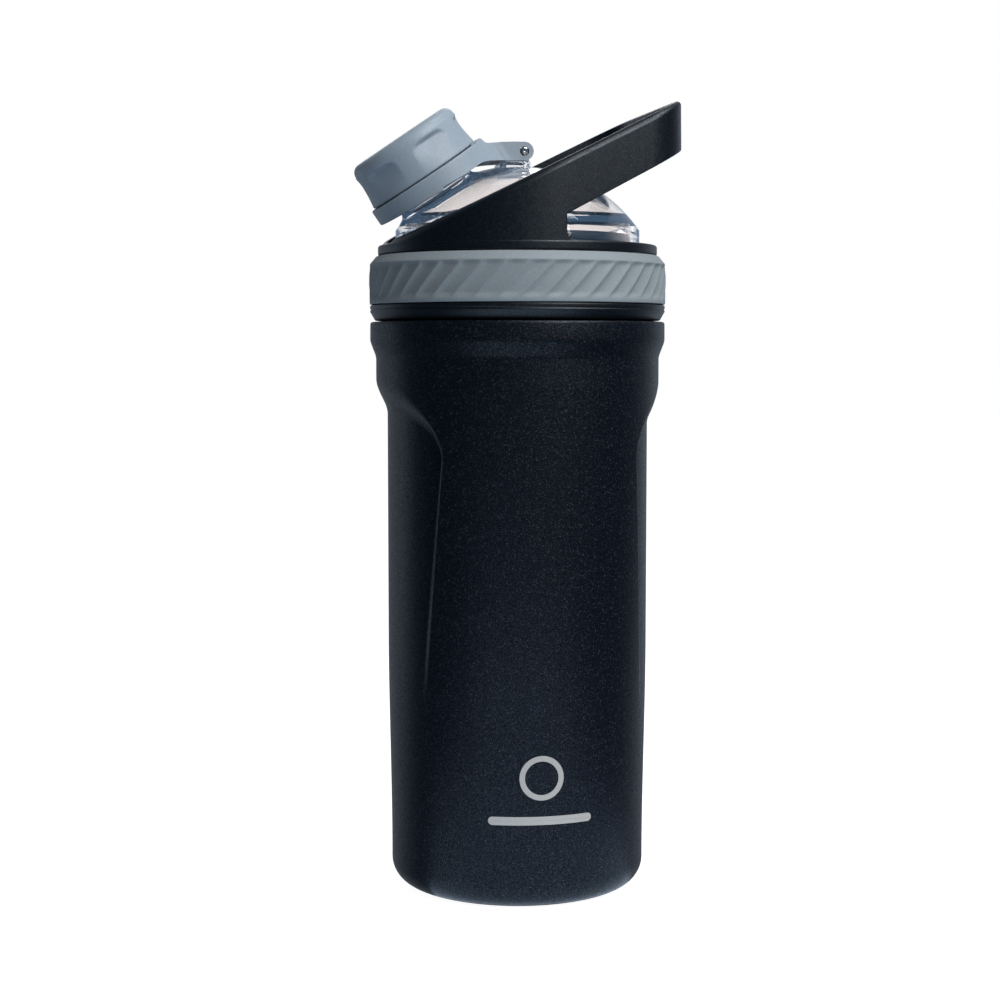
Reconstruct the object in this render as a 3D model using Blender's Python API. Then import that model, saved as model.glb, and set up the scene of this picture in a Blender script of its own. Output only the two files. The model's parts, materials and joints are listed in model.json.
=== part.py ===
"""Insulated protein shaker bottle with a screw lid, a clear spout dome and a loop handle.

Frame: origin at the centre of the base, +Z up the bottle, -X towards the spout and
+X towards the handle.  All dimensions below are millimetres; the helpers make metres.
"""
from math import acos, atan2, cos, degrees, hypot, pi, radians, sin, sqrt, tan

import bmesh
import bpy
from mathutils import Matrix, Vector

MM = 0.001
GAP = 0.3                 # running gap between neighbouring pieces
SIDES = 40                # facets round the big turned pieces
SMALL_SIDES = 32          # facets round the spout and the cap's inner pieces

# Bottle body
BASE_R = 40.5             # radius just above the base corner
BASE_CORNER = 8.0
BELLY = 0.95              # how much the radius grows on the way up
SHEET = 0.9               # wall of the outer shell
COLLAR_R = 46.9           # plain band under the lid
COLLAR_LOW = 174.0
COLLAR_HIGH = 179.5
STEP_Z = 169.2            # foot of the step up to the band
SHOULDER_Z = 180.3
PANEL_FOOT_Z = 60.0       # the front and back panels rise out of the barrel here
PANEL_HEIGHT = 100.0
PANEL_PROUD = 3.6
PLATE_R = 27.7            # welded base plate
PLATE_THICK = 1.0

# Grip recesses under the spout and under the handle
RECESS_HALF_ANGLE = 45.0
RECESS_ARCH_Z = 138.0     # the sides stop here and the arch begins
RECESS_ARCH_RISE = {"spout": 19.0, "handle": 17.2}
RECESS_TAPER = 0.155      # degrees narrower for each millimetre further down
RECESS_SIDE_SLOPE = 3.2   # half width of the side step
RECESS_TOP_SLOPE = {"spout": 6.0, "handle": 8.5}
RECESS_LINING_SPREAD = 3.0  # the wall's inner face steps in this much earlier

# Neck and thread
NECK_R = 39.7
NECK_INNER_R = 38.7
NECK_TOP = 195.9
THREAD_LEAD = 10.0        # rise for one turn
THREAD_STARTS = 2
THREAD_FOOT = 183.4
THREAD_HEAD = 194.8
MALE_CREST_R = 40.8
FEMALE_CREST_R = 40.2

# Steel liner
LINER_R = 37.5
LINER_WALL = 0.8
LINER_FLOOR = 8.0
LINER_CORNER = 10.0
RIM_R = 39.7
RIM_TOP = 197.0

# Lid
COLLAR_BORE_R = 41.2
COLLAR_WALL_R = 42.3
BAND_R = 46.87            # black band under the grip ring
BAND_HIGH = 185.5
BAND_LOW = 183.5
BAND_FOOT = 180.7
BAND_FOOT_R = 45.3
PLATE_LOW = 199.5
PLATE_HIGH = 201.0
UPSTAND_R = 36.1
UPSTAND_BORE_R = 33.5
UPSTAND_TOP = 207.6
GROOVE_R = 34.6
GROOVE_LOW = 203.4
GROOVE_HIGH = 205.0
SEAL_SECTION_R = 0.5
GASKET_INNER_R = 37.4
GASKET_R = 40.4
RING_BORE_R = 43.6
RING_R = 47.0
RING_BARREL = 0.25        # swell at mid height
RING_LOW = 185.8
RING_EDGE = 198.4
RING_TOP = 201.0
RING_TOP_R = 44.8
RIBS = 42
RIB_DEPTH = 0.7
RIB_LOW = 187.0
RIB_HIGH = 197.8
RIB_RUN_OUT = 0.6         # the flutes fade in over this height at each end
RIB_LEAN = 45.0           # degrees away from upright

# Clear dome
DOME_R = 38.7
DOME_WALL = 2.3
DOME_SPHERE_R = 47.0
DOME_SPHERE_Z = 182.4
DOME_FLANGE_R = 42.1
DOME_FLANGE_LOW = 201.3
DOME_FLANGE_HIGH = 202.9

# Black frame and its loop handle
FRAME_R = 44.15
FRAME_WALL = 3.0
FRAME_FLANGE_R = 44.3
FRAME_LOW = 201.3
FRAME_HIGH = 204.3
FRAME_OPENING_R = 39.1
SKIRT_LOW = 191.5
SKIRT_INNER_R = 42.6
SKIRT_R = 43.3
HANDLE_TOP_Z = 226.1      # height of the sloping top edge over the bottle's axis
HANDLE_TOP_SLOPE = 0.495
HANDLE_LOW_Z = 209.1      # the same for the arms' lower edge
HANDLE_LOW_SLOPE = 0.52
WINDOW_X = 5.25           # the arms leave the frame wall here
ARM_ANGLE = 8.9           # degrees that each arm closes in
ARM_CORNER_R = 16.0
ARM_CORNER_X = 30.0
ARM_CORNER_Y = 23.7

# Flip cap, in a frame of its own: local X towards the hinge, local Z out of the spout
CAP_X = -30.0
CAP_Z = 226.05
CAP_TILT = 34.3
SPOUT_R = 12.7
SPOUT_BORE_R = 10.5
SPOUT_TOP = 6.0
SPOUT_ROOT = -12.0
LUG_HALF_ANGLE = 30.0
LUG_CREST_R = 14.2
LUG_LOW = 0.8
LUG_HIGH = 2.8
PIN_X = 0.5
PIN_Z = 233.6
PIN_R = 1.2
PIN_HOLE_R = 1.5
PIN_HALF_LENGTH = 8.6
KNUCKLE_R = 2.9
ARM_HALF_WIDTH = 8.0
ARM_FILLET_R = 10.0       # where the arm's sides run out into the band
TONGUE_HALF_WIDTH = 3.8
BOSS_LOW_X = -5.8
BOSS_HIGH_X = 2.5
BOSS_TOP = 230.4
BOSS_DEPTH = 6.0
TETHER_R = 20.75
TETHER_OFFSET = 0.65      # more material towards the hinge
TETHER_THICK = 6.45
TETHER_BORE_WALL = 5.5    # band drawn this thick before its bore is cut
TETHER_WEDGE = 1.05       # thicker towards the hinge by this much
TETHER_BORE_R = 17.6
TETHER_COUNTERBORE_R = 18.8
TETHER_LEDGE = -3.6
UNDERCUT_REACH = 8.0        # the cut under the arm runs on this far past the band's foot
UNDERCUT_SLOPE = 0.575
KNOB_CLEARANCE = 0.4
ARM_TRIM = -1.5           # the arm's top is trimmed round the knob down to here, inside the band
KNOB_R = 19.0
KNOB_TOP_R = 18.3
KNOB_FLAT_R = 15.4
KNOB_HEIGHT = 14.2
KNOB_BORE_R = 16.5
KNOB_CEILING = 10.1
SCALLOPS = 6
SCALLOP_DEPTH = 1.4
SCALLOP_PHASE = 42.0
SCALLOP_HALF_ANGLE = 21.0
SCALLOP_TOP = 10.4        # height of the ledge that each finger recess hangs from
INSERT_R = 16.2
INSERT_BORE_R = 15.2
INSERT_TOP = 9.8
INSERT_ROOF = 1.5
INSERT_LUG_R = 13.6
INSERT_LUG_HALF_ANGLE = 20.0
CAP_GASKET_R = 14.8

# Loose mixing ball
BALL_R = 24.0
BALL_WIRE_R = 0.8
BALL_TURNS = 7
BALL_END_ANGLE = 14.0     # the wire starts and ends this far from the poles

CAP_FRAME = Matrix.Translation((CAP_X * MM, 0, CAP_Z * MM)) @ Matrix.Rotation(-radians(CAP_TILT), 4, 'Y')
PIN_FRAME = Matrix.Translation((PIN_X * MM, 0, PIN_Z * MM))

FINISHES = {
    "powder_coat": ((0.020, 0.022, 0.028), 0.45, 0.3),
    "steel": ((0.62, 0.61, 0.59), 0.28, 1.0),
    "black_plastic": ((0.016, 0.016, 0.018), 0.42, 0.0),
    "grey_rubber": ((0.20, 0.23, 0.25), 0.60, 0.0),
    "clear_plastic": ((0.78, 0.85, 0.92), 0.06, 0.0),
    "blue_grey_plastic": ((0.25, 0.30, 0.34), 0.45, 0.0),
    "silicone": ((0.55, 0.57, 0.58), 0.55, 0.0),
}


def clear_scene():
    for obj in list(bpy.data.objects):
        bpy.data.objects.remove(obj, do_unlink=True)


def smooth_step(t):
    t = min(max(t, 0.0), 1.0)
    return t * t * (3 - 2 * t)


def material(finish):
    found = bpy.data.materials.get(finish)
    if found:
        return found
    colour, roughness, metallic = FINISHES[finish]
    made = bpy.data.materials.new(finish)
    made.use_nodes = True
    shader = made.node_tree.nodes["Principled BSDF"]
    shader.inputs["Base Color"].default_value = (*colour, 1)
    shader.inputs["Roughness"].default_value = roughness
    shader.inputs["Metallic"].default_value = metallic
    if finish == "clear_plastic":
        shader.inputs["Transmission Weight"].default_value = 1.0
    return made


def place(name, bm, finish, build_frame=Matrix(), origin=Matrix()):
    """Make the object from a mesh drawn in build_frame, with its own origin at origin."""
    bmesh.ops.recalc_face_normals(bm, faces=bm.faces[:])
    mesh = bpy.data.meshes.new(name)
    bm.to_mesh(mesh)
    bm.free()
    mesh.transform(origin.inverted() @ build_frame)
    mesh.shade_smooth()
    mesh.set_sharp_from_angle(angle=radians(32))
    obj = bpy.data.objects.new(name, mesh)
    bpy.context.scene.collection.objects.link(obj)
    obj.matrix_world = origin
    mesh.materials.append(material(finish))
    return obj


def turned(profile, sides=SIDES, closed=True):
    """Spin an outline of (radius, height) points about Z; an open one starts and ends on the axis."""
    bm = bmesh.new()
    verts = [bm.verts.new((r * MM, 0, z * MM)) for r, z in profile]
    pairs = list(zip(verts, verts[1:]))
    if closed:
        pairs.append((verts[-1], verts[0]))
    edges = [bm.edges.new(pair) for pair in pairs]
    bmesh.ops.spin(bm, geom=verts + edges, cent=(0, 0, 0), axis=(0, 0, 1), dvec=(0, 0, 0),
                   angle=2 * pi, steps=sides, use_merge=True)
    bmesh.ops.remove_doubles(bm, verts=bm.verts[:], dist=1e-6)
    return bm


def disc(r, low, high, sides=SIDES):
    return turned([(0, low), (r, low), (r, high), (0, high)], sides, closed=False)


def extruded(outline, half_width):
    """Extrude an outline of (x, z) points along Y, half_width to each side."""
    bm = bmesh.new()
    verts = [bm.verts.new((x * MM, -half_width * MM, z * MM)) for x, z in outline]
    face = bm.faces.new(verts)
    moved = bmesh.ops.extrude_face_region(bm, geom=[face])["geom"]
    tops = [item for item in moved if isinstance(item, bmesh.types.BMVert)]
    bmesh.ops.translate(bm, verts=tops, vec=(0, 2 * half_width * MM, 0))
    return bm


def box(low, high):
    (x0, y0, z0), (x1, y1, z1) = low, high
    bm = extruded([(x0, z0), (x1, z0), (x1, z1), (x0, z1)], (y1 - y0) / 2)
    bmesh.ops.translate(bm, verts=bm.verts[:], vec=(0, (y0 + y1) / 2 * MM, 0))
    return bm


def arc(cx, cz, r, start, end, count):
    """Points along an arc, angles in degrees from +X."""
    angles = [radians(start + (end - start) * i / count) for i in range(count + 1)]
    return [(cx + r * cos(a), cz + r * sin(a)) for a in angles]


def combine(target, bm, operation, build_frame=Matrix()):
    """Join or cut the target with another mesh drawn in build_frame."""
    other = place("cutter", bm, "steel", build_frame)
    modifier = target.modifiers.new("combine", 'BOOLEAN')
    modifier.operation = operation
    modifier.solver = 'EXACT'
    modifier.object = other
    graph = bpy.context.evaluated_depsgraph_get()
    old = target.data
    target.data = bpy.data.meshes.new_from_object(target.evaluated_get(graph))
    target.modifiers.remove(modifier)
    bpy.data.objects.remove(other, do_unlink=True)
    name = old.name
    bpy.data.meshes.remove(old)
    target.data.name = name
    target.data.shade_smooth()
    target.data.set_sharp_from_angle(angle=radians(32))


def reshape(bm, rule):
    """Move each vertex to the radius that rule(angle in degrees, radius, height) gives."""
    for vert in bm.verts:
        r = hypot(vert.co.x, vert.co.y)
        if r < 1e-6:
            continue
        angle = degrees(atan2(vert.co.y, vert.co.x))
        scale = rule(angle, r / MM, vert.co.z / MM) * MM / r
        vert.co.x *= scale
        vert.co.y *= scale


# ---- Bottle body -----------------------------------------------------------

def barrel_radius(z):
    return BASE_R + BELLY * smooth_step((z - 10) / 70)


def panel_proud(z):
    return PANEL_PROUD * min(max((z - PANEL_FOOT_Z) / PANEL_HEIGHT, 0), 1)


def panel_radius(z):
    return barrel_radius(z) + panel_proud(z)


def recess_amount(angle, z, spread=0.0):
    """1 in a grip recess and 0 on the panels; spread widens the recess by that much."""
    side = "handle" if abs(angle) < 90 else "spout"
    psi = abs(angle) if side == "handle" else 180 - abs(angle)
    reach = pi / 180 * barrel_radius(z) * 1.05
    if z < RECESS_ARCH_Z:
        edge = RECESS_HALF_ANGLE - RECESS_TAPER * (RECESS_ARCH_Z - z)
        inside = (edge - psi) * reach
        slope = RECESS_SIDE_SLOPE
    else:
        across = psi / RECESS_HALF_ANGLE
        rise = RECESS_ARCH_RISE[side]
        up = (z - RECESS_ARCH_Z) / rise
        size = hypot(across, up)
        lift = (up / size) ** 2 if size else 1.0
        inside = (1 - size) * (RECESS_HALF_ANGLE * reach * (1 - lift) + rise * lift)
        slope = RECESS_SIDE_SLOPE * (1 - lift) + RECESS_TOP_SLOPE[side] * lift
    return smooth_step(0.5 + (inside + spread) / (2 * slope))


def thread_ridge(angle, z):
    """1 on the crest of the thread and 0 between its turns, fading out at both ends."""
    pitch = THREAD_LEAD / THREAD_STARTS
    phase = ((z - THREAD_LEAD * angle / 360) / pitch) % 1.0
    distance = abs(phase - 0.5) * pitch
    crest = min(max((1.15 - distance) / 0.65, 0), 1)
    ends = min(z - THREAD_FOOT, THREAD_HEAD - z) / 1.6
    return crest * min(max(ends, 0), 1)


def thread_rows(count=8):
    step = (THREAD_HEAD - THREAD_FOOT) / count
    return [THREAD_HEAD - step * i for i in range(count + 1)]


def outer_shell():
    outside = [(NECK_INNER_R, NECK_TOP), (NECK_R, NECK_TOP)]
    outside += [(NECK_R, z) for z in thread_rows()]
    outside += [(NECK_R, SHOULDER_Z), (COLLAR_R - 0.8, SHOULDER_Z), (COLLAR_R, COLLAR_HIGH),
                (COLLAR_R, COLLAR_LOW)]
    for z in (STEP_Z, 161, 156, 152, 147, 141, 134, 118, 98, 78, 60, 35, 14):
        outside.append((panel_radius(z), z))
    outside += arc(BASE_R - BASE_CORNER, BASE_CORNER, BASE_CORNER, 0, -90, 4)
    outside.append((PLATE_R + GAP, 0))
    inside = [(PLATE_R + GAP, SHEET)]
    inside += arc(BASE_R - BASE_CORNER, BASE_CORNER, BASE_CORNER - SHEET, -90, 0, 3)
    for z in (60, 100, 141, 150, 157, 164):
        inside.append((panel_radius(z) - SHEET, z))
    inside += [(panel_radius(STEP_Z) - SHEET, STEP_Z), (COLLAR_R - SHEET, COLLAR_LOW + 0.5),
               (COLLAR_R - SHEET - 0.2, SHOULDER_Z - SHEET), (NECK_INNER_R, SHOULDER_Z - SHEET)]
    bm = turned(outside + inside)

    def rule(angle, r, z):
        if r > NECK_R - 0.1 and z > SHOULDER_Z + 1:
            return r + (MALE_CREST_R - NECK_R) * thread_ridge(angle, z)
        if z > STEP_Z - 1 or z < PANEL_FOOT_Z:
            return r
        is_inside = r < panel_radius(z) - SHEET / 2
        return r - panel_proud(z) * recess_amount(angle, z, RECESS_LINING_SPREAD if is_inside else 0.0)

    reshape(bm, rule)
    return place("outer_shell", bm, "powder_coat")


def inner_liner():
    wall = LINER_R + LINER_WALL
    floor = LINER_FLOOR - LINER_WALL
    corner = LINER_FLOOR + LINER_CORNER
    profile = [(0, floor)]
    profile += arc(LINER_R - LINER_CORNER, corner, LINER_CORNER + LINER_WALL, -90, 0, 3)
    profile += [(wall, NECK_TOP + GAP), (RIM_R, NECK_TOP + GAP), (RIM_R, RIM_TOP - 0.3),
                (RIM_R - 0.3, RIM_TOP), (LINER_R + 0.3, RIM_TOP), (LINER_R, RIM_TOP - 0.3)]
    profile += arc(LINER_R - LINER_CORNER, corner, LINER_CORNER, 0, -90, 3)
    profile.append((0, LINER_FLOOR))
    return place("inner_liner", turned(profile, closed=False), "steel")


def base_plate():
    return place("base_plate", disc(PLATE_R, 0, PLATE_THICK), "steel")


def vacuum_getter():
    top = LINER_FLOOR - LINER_WALL - GAP
    profile = [(0, top - 2.2), (5.0, top - 2.2), (6.0, top - 1.4), (6.0, top), (0, top)]
    return place("vacuum_getter", turned(profile, 16, closed=False), "steel")


# ---- Lid -------------------------------------------------------------------

def lid_collar():
    profile = [(UPSTAND_BORE_R, UPSTAND_TOP), (UPSTAND_R - 0.4, UPSTAND_TOP), (UPSTAND_R, UPSTAND_TOP - 0.4),
               (UPSTAND_R, GROOVE_HIGH), (GROOVE_R, GROOVE_HIGH), (GROOVE_R, GROOVE_LOW),
               (UPSTAND_R, GROOVE_LOW), (UPSTAND_R, PLATE_HIGH), (COLLAR_WALL_R, PLATE_HIGH),
               (COLLAR_WALL_R, BAND_HIGH), (BAND_R, BAND_HIGH), (BAND_R, BAND_LOW),
               (BAND_FOOT_R, BAND_FOOT), (COLLAR_BORE_R, BAND_FOOT)]
    profile += [(COLLAR_BORE_R, z) for z in reversed(thread_rows())]
    profile += [(COLLAR_BORE_R, PLATE_LOW), (UPSTAND_BORE_R, PLATE_LOW)]
    bm = turned(profile)
    half_pitch = THREAD_LEAD / THREAD_STARTS / 2

    def rule(angle, r, z):
        if abs(r - COLLAR_BORE_R) > 0.1 or z > PLATE_LOW - 1:
            return r
        return r - (COLLAR_BORE_R - FEMALE_CREST_R) * thread_ridge(angle + 360 * half_pitch / THREAD_LEAD, z)

    reshape(bm, rule)
    return place("lid_collar", bm, "black_plastic")


def lid_gasket():
    low = RIM_TOP + GAP
    high = PLATE_LOW - GAP
    profile = [(GASKET_INNER_R, low), (GASKET_R, low), (GASKET_R, high), (GASKET_INNER_R, high)]
    return place("lid_gasket", turned(profile), "silicone")


def ring_radius(z):
    middle = (RING_LOW + RING_EDGE) / 2
    t = (z - middle) / (RING_EDGE - middle)
    return RING_R + RING_BARREL * (1 - t * t)


def grip_ring():
    """Soft ring with leaning saw-tooth ribs: each rib has a crest column and a root column."""
    middle = (RING_LOW + RING_EDGE) / 2
    heights = (RING_EDGE, RIB_HIGH, RIB_HIGH - RIB_RUN_OUT, middle, RIB_LOW + RIB_RUN_OUT, RIB_LOW, RING_LOW)
    profile = [(RING_BORE_R, RING_TOP), (RING_TOP_R, RING_TOP)]
    profile += [(ring_radius(z), z) for z in heights]
    profile.append((RING_BORE_R, RING_LOW))
    bm = turned(profile, 2 * RIBS)
    lean_per_mm = degrees(tan(radians(RIB_LEAN)) / RING_R)
    column = 360 / (2 * RIBS)
    for vert in bm.verts:
        r = hypot(vert.co.x, vert.co.y) / MM
        z = vert.co.z / MM
        angle = degrees(atan2(vert.co.y, vert.co.x))
        is_root = round(angle / column) % 2 == 1
        is_fluted = r > RING_TOP_R + 0.5 and RIB_LOW + RIB_RUN_OUT / 2 < z < RIB_HIGH - RIB_RUN_OUT / 2
        if is_root and is_fluted:
            r -= RIB_DEPTH
        is_bore = r < RING_BORE_R + 0.1
        lean = lean_per_mm * ((RIB_HIGH if is_bore else min(max(z, RIB_LOW), RIB_HIGH)) - RIB_LOW)
        vert.co.x = r * MM * cos(radians(angle + lean))
        vert.co.y = r * MM * sin(radians(angle + lean))
    return place("grip_ring", bm, "grey_rubber")


# ---- Black frame with the loop handle --------------------------------------

def handle_stations():
    """Plan of the frame wall as (point, outward normal), one half, from the spout to the handle's end."""
    stations = []
    arm_normal = 90 - ARM_ANGLE
    window = degrees(acos(WINDOW_X / FRAME_R))
    facet = 360 / SIDES
    arc_angles = [180 - facet * i for i in range(SIDES) if 180 - facet * i > window + 1]
    for angle in arc_angles + [window, arm_normal]:
        n = Vector((cos(radians(angle)), sin(radians(angle))))
        stations.append((n * FRAME_R, n))
    centre = Vector((ARM_CORNER_X, ARM_CORNER_Y))
    for i in range(7):
        angle = arm_normal * (1 - i / 6)
        n = Vector((cos(radians(angle)), sin(radians(angle))))
        stations.append((centre + n * ARM_CORNER_R, n))
    return stations


def handle_wall():
    """The wall and arms: a closed band with a sloping top, cut back under the arms."""
    half = handle_stations()
    mirrored = [(Vector((p.x, -p.y)), Vector((n.x, -n.y))) for p, n in reversed(half[1:])]
    stations = half + mirrored
    bm = bmesh.new()
    root = FRAME_HIGH - 0.6
    sections = []
    for point, normal in stations:
        inner = point - normal * FRAME_WALL
        outer_top = HANDLE_TOP_Z + HANDLE_TOP_SLOPE * point.x
        inner_top = HANDLE_TOP_Z + HANDLE_TOP_SLOPE * inner.x
        low = HANDLE_LOW_Z + HANDLE_LOW_SLOPE * point.x
        inner_low = HANDLE_LOW_Z + HANDLE_LOW_SLOPE * inner.x
        is_edge = abs(point.x - WINDOW_X) < 0.01
        heights = {"outer": [max(outer_top, root + 0.3)], "inner": [max(inner_top, root + 0.3)]}
        if is_edge or point.x > WINDOW_X:
            heights["outer"].append(low)
            heights["inner"].append(inner_low)
        if is_edge or point.x < WINDOW_X:
            heights["outer"].append(root)
            heights["inner"].append(root)
        section = {}
        for side, plan in (("outer", point), ("inner", inner)):
            section[side] = [bm.verts.new((plan.x * MM, plan.y * MM, z * MM)) for z in heights[side]]
        sections.append((section, point.x, is_edge))
    count = len(sections)
    for i in range(count):
        section, x, is_edge = sections[i]
        following, next_x, next_is_edge = sections[(i + 1) % count]
        is_arm = max(x, next_x) > WINDOW_X + 0.01
        for side in ("outer", "inner"):
            here = section[side][:2] if is_arm else section[side]
            there = following[side][:2] if is_arm else following[side]
            bm.faces.new(list(here) + list(reversed(there)))
        bottom = 1 if is_arm else -1
        for level in (0, bottom):
            bm.faces.new((section["outer"][level], following["outer"][level],
                          following["inner"][level], section["inner"][level]))
        if is_edge:
            bm.faces.new(section["outer"][1:] + list(reversed(section["inner"][1:])))
    return bm


def handle_frame():
    profile = [(FRAME_OPENING_R, FRAME_HIGH), (FRAME_FLANGE_R - 0.6, FRAME_HIGH),
               (FRAME_FLANGE_R, FRAME_HIGH - 0.6), (FRAME_FLANGE_R, FRAME_LOW), (SKIRT_R, FRAME_LOW),
               (SKIRT_R, SKIRT_LOW), (SKIRT_INNER_R, SKIRT_LOW), (SKIRT_INNER_R, FRAME_LOW - 0.5),
               (DOME_FLANGE_R + GAP, FRAME_LOW), (DOME_FLANGE_R + GAP, DOME_FLANGE_HIGH + GAP),
               (FRAME_OPENING_R, DOME_FLANGE_HIGH + GAP)]
    frame = place("handle_frame", turned(profile), "black_plastic")
    combine(frame, handle_wall(), 'UNION')
    return frame


# ---- Clear spout dome ------------------------------------------------------

def dome_profile(offset, foot):
    """Half outline of the dome's surface, set in by offset, from its foot to the crown."""
    r = DOME_SPHERE_R - offset
    wall = DOME_R - offset
    start = degrees(acos(wall / r))
    return [(wall, foot)] + arc(0, DOME_SPHERE_Z, r, start, 90, 7)


def spout_lugs():
    """Neck of the spout with two bayonet lugs, one towards the hinge and one away from it."""
    heights = (SPOUT_TOP - 0.6, LUG_HIGH + 0.2, LUG_HIGH, LUG_LOW, LUG_LOW - 0.2, SPOUT_ROOT)
    profile = [(0, SPOUT_TOP), (SPOUT_R - 0.6, SPOUT_TOP)]
    profile += [(SPOUT_R, h) for h in heights]
    profile.append((0, SPOUT_ROOT))
    bm = turned(profile, SMALL_SIDES, closed=False)

    def rule(angle, r, h):
        from_hinge_line = min(abs(angle), 180 - abs(angle))
        is_lug = from_hinge_line < LUG_HALF_ANGLE and LUG_LOW - 0.1 < h < LUG_HIGH + 0.1
        return LUG_CREST_R if is_lug and r > SPOUT_R - 0.1 else r

    reshape(bm, rule)
    return bm


def hinge_tongue():
    """Side outline of the tongue that carries the pin between the tether's ears."""
    outline = [(PIN_X - KNUCKLE_R - 0.6, BOSS_TOP - 3)]
    outline += arc(PIN_X, PIN_Z, KNUCKLE_R - 0.2, 180, 0, 8)
    outline.append((PIN_X + KNUCKLE_R - 0.8, BOSS_TOP - 3))
    return extruded(outline, TONGUE_HALF_WIDTH)


def pin_hole(half_width):
    return extruded(arc(PIN_X, PIN_Z, PIN_HOLE_R, 0, 330, 11), half_width)


def spout_dome():
    outside = [(0, DOME_FLANGE_LOW), (DOME_FLANGE_R, DOME_FLANGE_LOW), (DOME_FLANGE_R, DOME_FLANGE_HIGH)]
    outside += dome_profile(0, DOME_FLANGE_HIGH)
    dome = place("spout_dome", turned(outside, closed=False), "clear_plastic")
    combine(dome, spout_lugs(), 'UNION', CAP_FRAME)
    boss = box((BOSS_LOW_X, -ARM_HALF_WIDTH, BOSS_TOP - BOSS_DEPTH), (BOSS_HIGH_X, ARM_HALF_WIDTH, BOSS_TOP))
    combine(dome, boss, 'UNION')
    combine(dome, hinge_tongue(), 'UNION')
    hollow = [(0, DOME_FLANGE_LOW - 2)] + dome_profile(DOME_WALL, DOME_FLANGE_LOW - 2)
    combine(dome, turned(hollow, closed=False), 'DIFFERENCE')
    bore = disc(SPOUT_BORE_R, SPOUT_ROOT - 6, SPOUT_TOP + 2, SMALL_SIDES)
    combine(dome, bore, 'DIFFERENCE', CAP_FRAME)
    combine(dome, pin_hole(TONGUE_HALF_WIDTH + 1), 'DIFFERENCE')
    return dome


def dome_seal():
    centre = (GROOVE_R + DOME_R - DOME_WALL) / 2
    profile = arc(centre, (GROOVE_LOW + GROOVE_HIGH) / 2, SEAL_SECTION_R, 0, 288, 4)
    return place("dome_seal", turned(profile, SMALL_SIDES), "silicone")


# ---- Flip cap --------------------------------------------------------------

def tether_arm():
    """Side outline of the arm from the band to the hinge knuckle, in the bottle's own X and Z."""
    outline = [(-24.0, PIN_Z - 14.0)] + arm_underside()
    outline += arc(PIN_X, PIN_Z, KNUCKLE_R, -90, 90, 8)
    outline += [(PIN_X - 7.5, PIN_Z + 2.7), (PIN_X - 12.6, PIN_Z + 2.2), (PIN_X - 14.7, PIN_Z + 3.4),
                (PIN_X - 16.4, PIN_Z + 2.6), (-24.0, PIN_Z - 3.0)]
    return extruded(outline, TETHER_R)


def arm_underside():
    """Curve under the arm, from the band's foot to the hinge knuckle."""
    return [(PIN_X - 20.4, PIN_Z - 8.0), (PIN_X - 17.4, PIN_Z - 5.9), (PIN_X - 15.3, PIN_Z - 4.5),
            (PIN_X - 13.1, PIN_Z - 3.8), (PIN_X - 8.8, PIN_Z - 3.2)]


def underside_cut():
    """What lies below the arm's underside, so the band's foot blends into the arm."""
    foot_x, foot_z = arm_underside()[0]
    far_x = foot_x - UNDERCUT_REACH
    near_x = PIN_X - KNUCKLE_R
    outline = [(far_x, foot_z - UNDERCUT_REACH * UNDERCUT_SLOPE)] + arm_underside()
    outline += [(near_x, PIN_Z - KNUCKLE_R - 0.1), (near_x, PIN_Z - TETHER_R), (far_x, PIN_Z - TETHER_R)]
    return extruded(outline, 2 * TETHER_R)


def arm_plan():
    """The arm seen along the spout: straight sides with a fillet each that meets the round band."""
    centre_y = ARM_HALF_WIDTH + ARM_FILLET_R
    centre_x = TETHER_OFFSET + sqrt((TETHER_R + ARM_FILLET_R) ** 2 - centre_y ** 2)
    meeting = degrees(atan2(centre_y, centre_x - TETHER_OFFSET))
    side = arc(centre_x, centre_y, ARM_FILLET_R, 180 + meeting, 270, 4)
    side = [(TETHER_BORE_R / 2, side[0][1])] + side + [(2 * TETHER_R, ARM_HALF_WIDTH)]
    outline = side + [(x, -y) for x, y in reversed(side)]
    bm = extruded(outline, 2 * TETHER_R)
    bmesh.ops.rotate(bm, verts=bm.verts[:], matrix=Matrix.Rotation(radians(90), 3, 'X'))
    return bm


def tether_band():
    inner = TETHER_R - TETHER_BORE_WALL
    profile = [(inner, -GAP / 2), (TETHER_R - 0.4, -GAP / 2), (TETHER_R, -0.6),
               (TETHER_R - 0.3, -TETHER_THICK), (inner, -TETHER_THICK)]
    bm = turned(profile)
    for vert in bm.verts:
        across = vert.co.x / MM
        if vert.co.z < -1.0 * MM:
            vert.co.z -= TETHER_WEDGE * MM * across / TETHER_R
        if hypot(vert.co.x, vert.co.y) > (TETHER_R - 2) * MM:
            vert.co.x += TETHER_OFFSET * MM
    return bm


def cap_tether():
    tether = place("cap_tether", tether_arm(), "blue_grey_plastic")
    combine(tether, arm_plan(), 'INTERSECT', CAP_FRAME)
    combine(tether, disc(KNOB_R + KNOB_CLEARANCE, ARM_TRIM, TETHER_R), 'DIFFERENCE', CAP_FRAME)
    combine(tether, tether_band(), 'UNION', CAP_FRAME)
    combine(tether, disc(TETHER_BORE_R, -TETHER_R, 4), 'DIFFERENCE', CAP_FRAME)
    combine(tether, disc(TETHER_COUNTERBORE_R, -TETHER_R, TETHER_LEDGE), 'DIFFERENCE', CAP_FRAME)
    combine(tether, underside_cut(), 'DIFFERENCE')
    slot_width = TONGUE_HALF_WIDTH + GAP
    slot = box((PIN_X - KNUCKLE_R - 1.6, -slot_width, PIN_Z - 9), (PIN_X + 9, slot_width, PIN_Z + 9))
    combine(tether, slot, 'DIFFERENCE')
    combine(tether, pin_hole(ARM_HALF_WIDTH + 1), 'DIFFERENCE')
    tether.data.transform(PIN_FRAME.inverted())
    tether.matrix_world = PIN_FRAME
    return tether


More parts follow.
